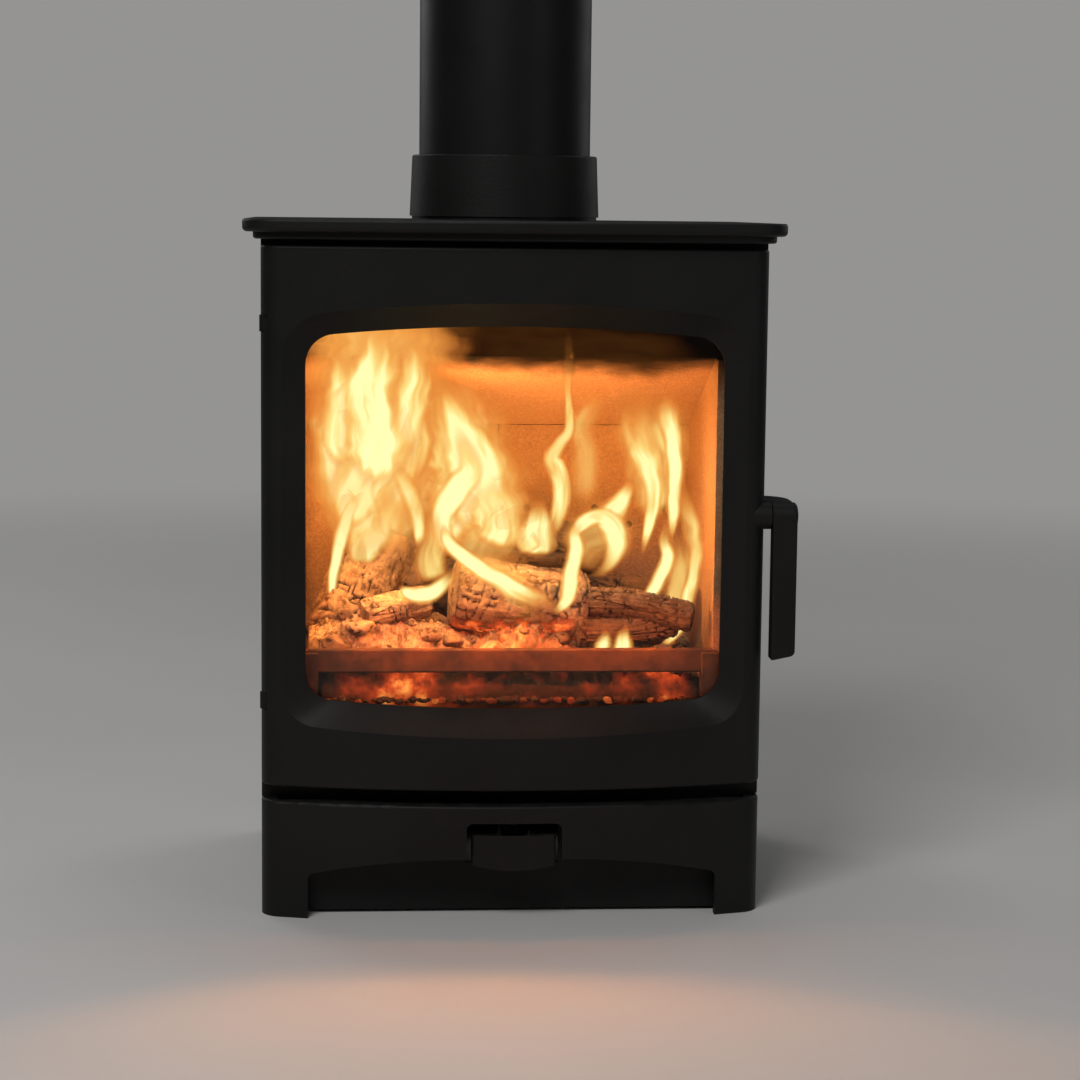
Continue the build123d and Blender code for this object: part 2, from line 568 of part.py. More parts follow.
def clip_screws():
    screws = []
    for x, z in clip_places():
        shank = rod("y", (x, z), DOOR_BACK_Y - 10.5, CLIP_Y + 2, CLIP_SCREW_R)
        head = rod("y", (x, z), CLIP_Y + 2, CLIP_Y + 4.4, CLIP_SCREW_R * 1.9)
        screws.append(shank + head)
    return group(screws)


def door_rope():
    """The round-edged rope seal that the door presses against the body."""
    return rounded_ring(ROPE_HALF, ROPE_BOTTOM, ROPE_TOP, ROPE_WIDTH, 14, DOOR_BACK_Y - 4, FRAME_Y - 0.5)


# ---- hinges -------------------------------------------------------------------------------------
def hinge_bracket(height):
    """A knuckle on a short arm, with a foot let into the body's face."""
    z0, z1 = height - KNUCKLE_HEIGHT / 2, height + KNUCKLE_HEIGHT / 2
    knuckle = rod("z", (HINGE_X, HINGE_Y), z0, z1, KNUCKLE_R)
    arm = block(0.2 - HALF_WIDTH, 10.5 - HALF_WIDTH, HINGE_Y, FRAME_Y + 2, z0, z1)
    foot = block(-HALF_WIDTH, 11 - HALF_WIDTH, FRAME_Y, FRAME_Y + 6, height - 19.5, height + 19.5)
    bracket = knuckle + arm + foot
    bracket -= rod("z", (HINGE_X, HINGE_Y), z0 - 1, z1 + 1, HINGE_PIN_R)
    for offset in (-15, 15):
        bracket -= rod("y", (HINGE_SCREW_X, height + offset), FRAME_Y - 1, FRAME_Y + 7, 2.0)
        bracket -= rod("y", (HINGE_SCREW_X, height + offset), FRAME_Y - 1, FRAME_Y + 2, 3.8)
    return bracket


def hinge_screws():
    screws = []
    for height in HINGE_HEIGHTS.values():
        for offset in (-15, 15):
            centre = (HINGE_SCREW_X, height + offset)
            shank = rod("y", centre, FRAME_Y + 2, FRAME_Y + FRAME_THICK, 2.0)
            screws.append(shank + rod("y", centre, FRAME_Y + 0.1, FRAME_Y + 2, 3.7))
    return group(screws)


def hinge_pin(height):
    half = HINGE_PIN_LENGTH / 2
    return rod("z", (HINGE_X, HINGE_Y), height - half, height + half, HINGE_PIN_R)


# ---- handle and latch ---------------------------------------------------------------------------
def handle_lever():
    """A short barrel in line with the door's boss, with a flat grip hanging from it."""
    barrel = rod("x", (HANDLE_Y, HANDLE_Z), BARREL_START, BARREL_END, BARREL_R)
    barrel = fillet(barrel.edges().filter_by(GeomType.CIRCLE).sort_by(Axis.X)[-1:], 4.0)
    front, back = HANDLE_Y - 10.5, HANDLE_Y + 3.5
    slant = 4.5
    profile = make_face(Polyline(
        (GRIP_LEFT, HANDLE_Z - 2), (GRIP_LEFT, GRIP_BOTTOM), (GRIP_RIGHT, GRIP_BOTTOM + slant),
        (GRIP_RIGHT, HANDLE_Z - 2), (GRIP_LEFT, HANDLE_Z - 2),
    ))
    low_left, low_right = profile.vertices().sort_by(Axis.Y)[:2].sort_by(Axis.X)
    profile = fillet(low_right, 5.0)
    profile = fillet(profile.vertices().sort_by(Axis.Y)[:1], 2.0)
    grip = upright(profile, front, back)
    grip = fillet(front_band(grip, "Y", front - 0.1, front + 0.1)
                  .filter_by(lambda edge: edge.center().Z < HANDLE_Z - 3), 1.6)
    grip -= rod("x", (HANDLE_Y, HANDLE_Z), GRIP_LEFT - 5, BARREL_START, BARREL_R + 0.9)
    grip -= rod("x", (HANDLE_Y, HANDLE_Z), BARREL_START - 1, BARREL_END + 2, BARREL_R - 1)
    lever = barrel + grip
    return lever - rod("x", (HANDLE_Y, HANDLE_Z), BARREL_START - 1, BARREL_END - 5, SPINDLE_R)


def handle_spindle():
    return rod("x", (HANDLE_Y, HANDLE_Z), HALF_WIDTH - 11, BARREL_END - 5, SPINDLE_R)


def latch_nose():
    """The arm that swings into the keep when the handle hangs down."""
    y0 = HANDLE_Y + sqrt((BARREL_R - 0.6) ** 2 - NOSE_HALF_HEIGHT**2)
    arm = block(NOSE_X - 3.5, NOSE_X + 3.5, y0, HANDLE_Y + NOSE_REACH - 5,
                HANDLE_Z - NOSE_HALF_HEIGHT, HANDLE_Z + NOSE_HALF_HEIGHT)
    arm = arm - rod("x", (HANDLE_Y, HANDLE_Z), NOSE_X - 5, NOSE_X + 5, BARREL_R)
    tip = rod("x", (HANDLE_Y + NOSE_REACH - 5, HANDLE_Z), NOSE_X - 3.5, NOSE_X + 3.5, NOSE_HALF_HEIGHT)
    return arm + tip


def latch_keep():
    """A cast housing on the body's right side; the latch nose runs in and out of its slot."""
    depth, width = KEEP_BACK - KEEP_FRONT, KEEP_RIGHT - HALF_WIDTH
    straight = 14.0
    curve = EllipticalCenterArc((HALF_WIDTH, KEEP_FRONT + straight), width, depth - straight, arc_size=90)
    rest = Polyline((HALF_WIDTH, KEEP_BACK), (HALF_WIDTH, KEEP_FRONT), (KEEP_RIGHT, KEEP_FRONT),
                    (KEEP_RIGHT, KEEP_FRONT + straight))
    plan = make_face(curve + rest)
    keep = Pos(0, 0, KEEP_BOTTOM) * extrude(plan, amount=KEEP_TOP - KEEP_BOTTOM)
    keep = fillet(front_band(keep, "Z", KEEP_TOP - 0.1, KEEP_TOP + 0.1)
                  .filter_by(lambda edge: edge.center().X > HALF_WIDTH + 1), 1.5)
    slot = block(NOSE_X - 5.5, NOSE_X + 5.5, KEEP_FRONT - 1, HANDLE_Y + NOSE_REACH + 6,
                 KEEP_BOTTOM - 1, HANDLE_Z + NOSE_HALF_HEIGHT + 1)
    keep -= slot
    keep -= rod("x", (KEEP_PIN_Y, KEEP_PIN_Z), NOSE_X - 8.5, NOSE_X + 8.5, KEEP_PIN_R)
    for y in KEEP_SCREWS_Y:
        keep -= rod("x", (y, KEEP_MIDDLE_Z), HALF_WIDTH - 1, HALF_WIDTH + 4, 2.0)
    return keep


def keep_pin():
    """The hardened pin across the keep that the latch closes against."""
    return rod("x", (KEEP_PIN_Y, KEEP_PIN_Z), NOSE_X - 8.5, NOSE_X + 8.5, KEEP_PIN_R)


def keep_screws():
    screws = []
    for y in KEEP_SCREWS_Y:
        shank = rod("x", (y, KEEP_MIDDLE_Z), HALF_WIDTH - SHEET - 2, HALF_WIDTH + 3.5, 2.0)
        screws.append(shank + rod("x", (y, KEEP_MIDDLE_Z), HALF_WIDTH - SHEET - 4, HALF_WIDTH - SHEET, 3.6))
    return group(screws)


# ---- air control --------------------------------------------------------------------------------
def air_tab():
    """The pull tab: a convex face, a smile-shaped lower edge and a finger scoop in its top."""
    depth, bulge = 27.0, 2.2
    radius = (TAB_HALF**2 + bulge**2) / (2 * bulge)
    tab = bowed_solid(TAB_HALF, TAB_FRONT, TAB_FRONT + depth, radius, TAB_BOTTOM - 5, TAB_TOP, 3)
    smile = make_face(
        ThreePointArc((-TAB_HALF - 1, TAB_BOTTOM), (0, TAB_BOTTOM - 4.5), (TAB_HALF + 1, TAB_BOTTOM))
        + Polyline((TAB_HALF + 1, TAB_BOTTOM), (TAB_HALF + 1, TAB_TOP), (-TAB_HALF - 1, TAB_TOP),
                   (-TAB_HALF - 1, TAB_BOTTOM))
    )
    tab &= upright(smile, TAB_FRONT - 1, TAB_FRONT + depth + 1)
    scoop = rod("y", (0, TAB_TOP + 5), TAB_FRONT + 1.8, TAB_FRONT + depth + 1, 15.0)
    return tab - scoop


def air_rod():
    """The bar that joins the tab to the valve plate under the floor."""
    start = TAB_FRONT + 27.0
    bar = block(-8, 8, start, -20, ROD_Z, ROD_Z + 5)
    riser = block(-8, 8, -25, -20, ROD_Z + 5, SLIDE_Z)
    return bar + riser


def air_slide():
    """The sliding valve plate, with ports that uncover those in the floor."""
    plate = block(-88, 88, -62, 46, SLIDE_Z, SLIDE_Z + 3)
    for x in AIR_PORTS_X:
        plate -= upright_slot(x, 0, SLIDE_Z - 1, SLIDE_Z + 4)
    return plate


def air_chest():
    """The fixed plate above the slide and the walls that lead the air up to the floor."""
    z0, z1 = SLIDE_Z + 3.5, BASE_TOP + 20
    chest = block(-100, 100, -80, 60, z0, z1)
    chest -= block(-97, 97, -77, 57, z0 + 3, z1 + 1)
    for x in AIR_PORTS_X:
        chest -= upright_slot(x, 0, z0 - 1, z0 + 4)
    return chest


def air_rail(side):
    """A lipped rail under the air chest that the valve plate slides in."""
    x0, x1 = sorted((side * 88.5, side * 96.0))
    upright_part = block(x0, x1, -80, 60, SLIDE_Z - 3, SLIDE_Z + 3.5)
    y0, y1 = sorted((side * 84.0, side * 88.5))
    return upright_part + block(y0, y1, -80, 60, SLIDE_Z - 3, SLIDE_Z - 0.5)


# ---- the parts ------------------------------------------------------------------------------------
save("base_frame", base_frame())
save("plinth_panel", plinth_panel())
save("front_frame", front_frame())
save("back_panel", back_panel())
save("floor_plate", floor_plate())
save("hearth_plate", hearth_plate())
save("grate", grate())
save("ash_pan", ash_pan())
save("duct_plate", duct_plate())
save("baffle_plate", baffle_plate())
save("airwash_strip", airwash_strip())
save("log_guard", log_guard())
save("top_plate", top_plate())
save("flue_collar", flue_collar())
save("collar_bolts", collar_bolts())
save("flue_pipe", flue_pipe())
save("pipe_seal", pipe_seal())
save("rear_cover", rear_cover())
save("rear_bolts", rear_bolts())
save("door_frame", door_frame())
save("door_glass", door_glass())
save("glass_gasket", glass_gasket())
save("glass_clips", glass_clips())
save("clip_screws", clip_screws())
save("door_rope", door_rope())
save("hinge_screws", hinge_screws())
save("handle_lever", handle_lever())
save("handle_spindle", handle_spindle())
save("latch_nose", latch_nose())
save("latch_keep", latch_keep())
save("keep_pin", keep_pin())
save("keep_screws", keep_screws())
save("air_tab", air_tab())
save("air_rod", air_rod())
save("air_slide", air_slide())
save("air_chest", air_chest())
for side_name, side_sign in (("left", -1), ("right", 1)):
    save(f"side_panel_{side_name}", side_panel(side_sign))
    save(f"back_brick_{side_name}", back_brick(side_sign))
    save(f"side_brick_{side_name}", side_brick(side_sign))
    save(f"guard_bracket_{side_name}", guard_bracket(side_sign))
    save(f"air_rail_{side_name}", air_rail(side_sign))
for hinge_name, hinge_height in HINGE_HEIGHTS.items():
    save(f"hinge_bracket_{hinge_name}", hinge_bracket(hinge_height))
    save(f"hinge_pin_{hinge_name}", hinge_pin(hinge_height))
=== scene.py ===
import json
import math
import random

import bmesh
import bpy
import numpy as np
from mathutils import Matrix, Vector, noise


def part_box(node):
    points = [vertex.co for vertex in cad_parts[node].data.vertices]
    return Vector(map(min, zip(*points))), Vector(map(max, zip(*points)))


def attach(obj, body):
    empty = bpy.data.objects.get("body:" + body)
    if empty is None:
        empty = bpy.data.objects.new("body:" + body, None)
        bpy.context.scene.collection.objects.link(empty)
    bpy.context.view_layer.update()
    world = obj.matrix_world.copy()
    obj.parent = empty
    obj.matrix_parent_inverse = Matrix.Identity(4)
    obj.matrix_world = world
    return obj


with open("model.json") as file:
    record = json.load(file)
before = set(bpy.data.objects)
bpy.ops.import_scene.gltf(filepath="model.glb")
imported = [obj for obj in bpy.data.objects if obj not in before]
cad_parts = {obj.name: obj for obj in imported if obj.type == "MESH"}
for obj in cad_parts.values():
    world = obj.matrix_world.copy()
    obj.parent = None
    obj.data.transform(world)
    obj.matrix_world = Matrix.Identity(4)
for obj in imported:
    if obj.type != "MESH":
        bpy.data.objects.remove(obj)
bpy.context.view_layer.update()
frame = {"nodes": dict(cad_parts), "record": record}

# The looks of a wood burning stove: matt paint on castings and sheet, a ceramic glass with a little
# soot, vermiculite bricks, and the burning logs behind the glass. Metres, in the CAD's own frame:
# -Y is the front, +Z is up, and the floor is at 0.

NODES = frame["nodes"]
MM = 0.001


# ---- shader helper ------------------------------------------------------------------------------
class Graph:
    """A material's node tree, with one call to add a node, set it and link its inputs."""

    def __init__(self, name):
        self.material = bpy.data.materials.new(name)
        self.material.use_nodes = True
        self.tree = self.material.node_tree
        self.tree.nodes.clear()
        self.place = self("TexCoord").outputs["Object"]

    def __call__(self, kind, inputs=None, **settings):
        node = self.tree.nodes.new("ShaderNode" + kind)
        for key, value in settings.items():
            setattr(node, key, value)
        for key, value in (inputs or {}).items():
            self.feed(node.inputs[key], value)
        return node

    def feed(self, socket, value):
        if isinstance(value, bpy.types.Node):
            value = value.outputs[0]
        if isinstance(value, bpy.types.NodeSocket):
            self.tree.links.new(value, socket)
        else:
            socket.default_value = value

    def noise(self, scale, detail=4.0, roughness=0.55, distortion=0.0, place=None, stretch=None):
        if stretch:
            place = self("Mapping", {"Vector": place or self.place, "Scale": stretch})
        return self("TexNoise", {"Vector": place or self.place, "Scale": scale, "Detail": detail,
                                 "Roughness": roughness, "Distortion": distortion})

    def voronoi(self, scale):
        return self("TexVoronoi", {"Vector": self.place, "Scale": scale})

    def ramp(self, factor, *stops):
        """A colour ramp; each stop is (position, colour), where a colour may be one number for a grey."""
        node = self("ValToRGB", {"Fac": factor})
        elements = node.color_ramp.elements
        while len(elements) < len(stops):
            elements.new(0.5)
        for element, (position, colour) in zip(elements, stops):
            element.position = position
            element.color = (*colour, 1.0) if isinstance(colour, tuple) else (colour,) * 3 + (1.0,)
        return node

    def math(self, operation, a, b=0.0, c=None, clamp=False):
        inputs = {0: a, 1: b} if c is None else {0: a, 1: b, 2: c}
        return self("Math", inputs, operation=operation, use_clamp=clamp)

    def mix(self, factor, a, b):
        node = self("Mix", data_type="RGBA")
        for socket, value in ((node.inputs[0], factor), (node.inputs[6], a), (node.inputs[7], b)):
            self.feed(socket, (*value, 1.0) if isinstance(value, tuple) and len(value) == 3 else value)
        return node.outputs[2]

    def bump(self, height, distance, normal=None):
        inputs = {"Height": height, "Distance": distance, "Strength": 1.0}
        if normal:
            inputs["Normal"] = normal
        return self("Bump", inputs)

    def surface(self, **inputs):
        """A Principled surface; its socket names are given with underscores for spaces."""
        return self("BsdfPrincipled", {key.replace("_", " "): value for key, value in inputs.items()})

    def done(self, shader):
        out = self("OutputMaterial", {"Surface": shader})
        out.is_active_output = True
        return self.material


# ---- materials of the stove -----------------------------------------------------------------------
def stove_paint(name, tint, grain, grain_depth, roughness):
    """Matt high-temperature paint: a faint mottle, a fine grain, and a little dust where it lies flat."""
    g = Graph(name)
    mottle = g.noise(9.0, detail=5.0)
    fine = g.noise(1.0 / grain, detail=6.0, roughness=0.7)
    pores = g.voronoi(0.35 / grain)
    colour = g.mix(g.ramp(mottle, (0.3, 0.0), (0.7, 1.0)), tuple(0.8 * c for c in tint),
                   tuple(1.25 * c for c in tint))
    upward = g("SeparateXYZ", {0: g("NewGeometry").outputs["Normal"]}).outputs["Z"]
    dust = g.math("MULTIPLY", g.ramp(upward, (0.75, 0.0), (1.0, 1.0)),
                  g.ramp(g.noise(55.0, detail=8.0), (0.45, 0.0), (0.75, 0.35)))
    colour = g.mix(dust, colour, (0.045, 0.042, 0.039))
    spread = 0.16
    rough = g.math("MULTIPLY_ADD", g.noise(30.0, detail=3.0), spread, roughness - spread / 2)
    height = g.math("ADD", g.math("MULTIPLY", fine, 0.7), g.math("MULTIPLY", pores, 0.3))
    wave = g.bump(g.noise(14.0, detail=2.0), 0.0006)
    return g.done(g.surface(Base_Color=colour, Roughness=rough, Specular_IOR_Level=0.20,
                            Normal=g.bump(height, grain_depth, normal=wave)))


def bare_metal(name, tint, roughness, streak):
    """Dull steel with fine drawn lines and a few darker blotches."""
    g = Graph(name)
    lines = g.noise(220.0, detail=4.0, stretch=streak)
    blotch = g.noise(26.0, detail=5.0)
    colour = g.mix(g.ramp(blotch, (0.42, 0.0), (0.7, 1.0)), tint, tuple(0.45 * c for c in tint))
    rough = g.math("MULTIPLY_ADD", lines, 0.3, roughness - 0.12)
    return g.done(g.surface(Base_Color=colour, Metallic=0.9, Roughness=rough,
                            Normal=g.bump(lines, 0.00008)))


def fired_iron(name):
    """Bare cast iron that has been through many fires: brown-grey scale with rusty patches."""
    g = Graph(name)
    patch = g.noise(38.0, detail=7.0, roughness=0.65)
    grit = g.noise(700.0, detail=5.0, roughness=0.7)
    colour = g.mix(g.ramp(patch, (0.38, 0.0), (0.66, 1.0)), (0.052, 0.034, 0.024), (0.150, 0.070, 0.034))
    colour = g.mix(g.ramp(grit, (0.5, 0.0), (0.8, 0.5)), colour, (0.17, 0.115, 0.080))
    height = g.math("ADD", g.math("MULTIPLY", grit, 0.4), g.math("MULTIPLY", patch, 0.6))
    return g.done(g.surface(Base_Color=colour, Metallic=0.1, Specular_IOR_Level=0.2, Roughness=0.78,
                            Normal=g.bump(height, 0.0009)))


def fire_brick(name, soot_from):
    """Vermiculite board: pressed golden flakes, finely speckled, black with soot above soot_from."""
    g = Graph(name)
    flakes = g.voronoi(620.0)
    speck = g.noise(420.0, detail=5.0, roughness=0.75)
    cloud = g.noise(6.0, detail=3.0, roughness=0.45)
    colour = g.mix(g.ramp(flakes.outputs["Color"], (0.2, 0.0), (0.9, 1.0)), (0.45, 0.275, 0.158),
                   (0.59, 0.378, 0.228))
    colour = g.mix(g.ramp(speck, (0.36, 0.5), (0.50, 0.0)), colour, (0.27, 0.175, 0.11))
    colour = g.mix(g.ramp(cloud, (0.38, 0.30), (0.60, 0.0)), colour, (0.26, 0.17, 0.11))
    level = g("SeparateXYZ", {0: g.place}).outputs["Z"]
    wander = g.math("MULTIPLY", g.math("SUBTRACT", g.noise(14.0, detail=3.0), 0.5), 30 * MM)
    sooty = g.math("ADD", level, wander)
    soot = g("MapRange", {0: sooty, 1: soot_from - 13 * MM, 2: soot_from + 2 * MM, 3: 0.0, 4: 1.0})
    colour = g.mix(soot, colour, (0.012, 0.009, 0.007))
    height = g.math("ADD", flakes.outputs["Distance"], g.math("MULTIPLY", speck, 0.8))
    return g.done(g.surface(Base_Color=colour, Roughness=0.92, Specular_IOR_Level=0.2,
                            Normal=g.bump(height, 0.0006)))


def sealing_rope(name):
    """Knitted glass-fibre rope: small slanting stitches with loose fuzz."""
    g = Graph(name)
    stitch = g("TexWave", {"Vector": g.place, "Scale": 120.0, "Distortion": 2.0, "Detail": 2.0},
               bands_direction="DIAGONAL")
    fuzz = g.noise(420.0, detail=6.0, roughness=0.7)
    colour = g.mix(stitch.outputs["Fac"], (0.035, 0.033, 0.031), (0.12, 0.115, 0.108))
    colour = g.mix(g.ramp(fuzz, (0.55, 0.0), (0.8, 0.5)), colour, (0.24, 0.23, 0.215))
    return g.done(g.surface(Base_Color=colour, Roughness=0.95, Specular_IOR_Level=0.15,
                            Normal=g.bump(g.math("ADD", stitch.outputs["Fac"], fuzz), 0.0009)))


def stove_glass(name, low, high):
    """Clear ceramic glass with a thin brown film of smoke that gathers at its edges and corners."""
    g = Graph(name)
    split = g("SeparateXYZ", {0: g.place})
    middle, half = (low + high) / 2, (high - low) / 2
    from_middle = g.math("SUBTRACT", split.outputs["X"], middle.x)
    across = g.math("ABSOLUTE", g.math("DIVIDE", from_middle, half.x))
    height = g.math("DIVIDE", g.math("SUBTRACT", split.outputs["Z"], middle.z), half.z)
    wisps = g.noise(16.0, detail=5.0, distortion=0.6, stretch=(1.0, 1.0, 1.6))
    side = g.ramp(across, (0.90, 0.0), (0.99, 0.35))
    low_edge = g.ramp(g.math("MULTIPLY", height, -1.0), (0.84, 0.0), (1.0, 0.8))
    smoke = g.math("ADD", g.math("MULTIPLY", side, g.ramp(wisps, (0.35, 0.2), (0.65, 1.0))), low_edge)
    smoke = g.math("MULTIPLY", smoke, g.ramp(wisps, (0.25, 0.55), (0.7, 1.0)), clamp=True)
    clear = g("BsdfTransparent", {"Color": (0.985, 0.97, 0.94, 1.0)})
    shine = g("BsdfGlossy", {"Color": (1.0, 1.0, 1.0, 1.0), "Roughness": 0.03})
    pane = g("MixShader", {0: g("Fresnel", {"IOR": 1.24}), 1: clear, 2: shine})
    film = g("BsdfDiffuse", {"Color": (0.020, 0.012, 0.008, 1.0)})
    return g.done(g("MixShader", {0: smoke, 1: pane, 2: film}))


STOVE_MATERIALS = {
    "black_casting": stove_paint("black_casting", (0.0088, 0.0085, 0.0080), 0.0011, 0.00022, 0.50),
    "black_sheet": stove_paint("black_sheet", (0.0078, 0.0076, 0.0074), 0.0006, 0.00008, 0.46),
    "grate_iron": fired_iron("grate_iron"),
    "bare_steel": bare_metal("bare_steel", (0.42, 0.41, 0.40), 0.42, (1.0, 1.0, 9.0)),
    "fire_brick": fire_brick("fire_brick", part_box("side_brick_left")[1].z - 1 * MM),
    "seal_rope": sealing_rope("seal_rope"),
    "ceramic_glass": stove_glass("ceramic_glass", *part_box("door_glass")),
}
for part in frame["record"]["subparts"]:
    mesh = NODES[part["node"]].data
    mesh.materials.clear()
    mesh.materials.append(STOVE_MATERIALS[part["material_slot"]])


# ---- what burns behind the glass --------------------------------------------------------------------
GUARD_LOW, GUARD_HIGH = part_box("log_guard")
GRATE_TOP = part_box("grate")[1].z
BACK_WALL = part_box("back_brick_left")[0].y
SIDE_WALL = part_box("side_brick_right")[0].x
BED_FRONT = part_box("hearth_plate")[0].y + 3 * MM
PLATE_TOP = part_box("hearth_plate")[1].z


def smooth(low, high, value):
    """0 at low and beyond, 1 at high and beyond, with a soft step between; low may be the larger."""
    share = min(max((value - low) / (high - low), 0.0), 1.0)
    return share * share * (3 - 2 * share)


def new_piece(name, mesh, material, body="stove"):
    """Puts a mesh into the scene as a piece that rides on a body."""
    piece = bpy.data.objects.new(name, mesh)
    bpy.context.scene.collection.objects.link(piece)
    mesh.materials.clear()
    mesh.materials.append(material)
    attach(piece, body)
    return piece


def mark_burning(mesh, cracks, heats, greys, wood=None):
    """Stores what charred_wood reads at each vertex. Cycles keeps the name "heat" for volumes, so the
    heat is called ember. Where there is no grain to follow, the wood runs evenly through space."""
    for name, values in (("crack", cracks), ("ember", heats), ("grey", greys)):
        mesh.attributes.new(name, "FLOAT", "POINT").data.foreach_set("value", values)
    if wood is None:
        wood = [value for vertex in mesh.vertices for value in vertex.co]
    mesh.attributes.new("wood", "FLOAT_VECTOR", "POINT").data.foreach_set("vector", wood)


def tube_faces(rows, around):
    """The faces that join rows of around points into an open tube."""
    return [(row * around + step, row * around + (step + 1) % around,
             (row + 1) * around + (step + 1) % around, (row + 1) * around + step)
            for row in range(rows - 1) for step in range(around)]


def charred_wood(name):
    """Burnt wood: black checks between ash-dusted fibres, and red heat in the cracks where it is hot."""
    g = Graph(name)
    crack = g("Attribute", attribute_name="crack").outputs["Fac"]
    heat = g("Attribute", attribute_name="ember").outputs["Fac"]
    grey = g("Attribute", attribute_name="grey").outputs["Fac"]
    wood = g("Attribute", attribute_name="wood").outputs["Vector"]
    fibre = g.noise(520.0, detail=7.0, roughness=0.68, place=wood)
    flaky = g.noise(60.0, detail=8.0, roughness=0.72)
    char = g.mix(fibre, (0.020, 0.012, 0.007), (0.17, 0.100, 0.052))
    ash = g.mix(fibre, (0.26, 0.175, 0.105), (0.74, 0.60, 0.43))
    dusted = g.math("MULTIPLY", grey, g.ramp(flaky, (0.36, 0.0), (0.56, 1.0)), clamp=True)
    colour = g.mix(dusted, char, ash)
    colour = g.mix(g.ramp(crack, (0.20, 0.0), (0.90, 0.88)), colour, (0.012, 0.007, 0.004))
    flicker = g.ramp(g.noise(75.0, detail=5.0), (0.36, 0.0), (0.64, 1.0))
    uneven = g.math("ADD", g.math("MULTIPLY", crack, 0.7), g.math("MULTIPLY", flicker, 0.85))
    glow = g.math("MULTIPLY", heat, uneven)
    light = g.ramp(glow, (0.0, (0.32, 0.012, 0.002)), (0.5, (0.85, 0.085, 0.012)),
                   (1.0, (1.0, 0.36, 0.07)))
    strength = g.math("MULTIPLY", g.ramp(glow, (0.10, 0.0), (0.9, 1.0)), 1.3)
    height = g.math("ADD", fibre, g.math("MULTIPLY", flaky, 0.5))
    return g.done(g.surface(Base_Color=colour, Roughness=0.93, Specular_IOR_Level=0.15,
                            Emission_Color=light, Emission_Strength=strength,
                            Normal=g.bump(height, 0.0013)))


CHARRED = charred_wood("charred_wood")
CROWN = 0.16                    # how far a log's end bulges, as a share of its radius


def cell_edge(point, spread):
    """1 in the gap between two cells of a random mosaic, falling to 0 within spread of it."""
    near = noise.voronoi(point)[0]
    return 1.0 - smooth(0.0, spread, near[1] - near[0])


def vein(point, width):
    """1 along winding lines through space, falling to 0 within width of them."""
    return 1.0 - smooth(0.0, width, abs(noise.noise(point)))


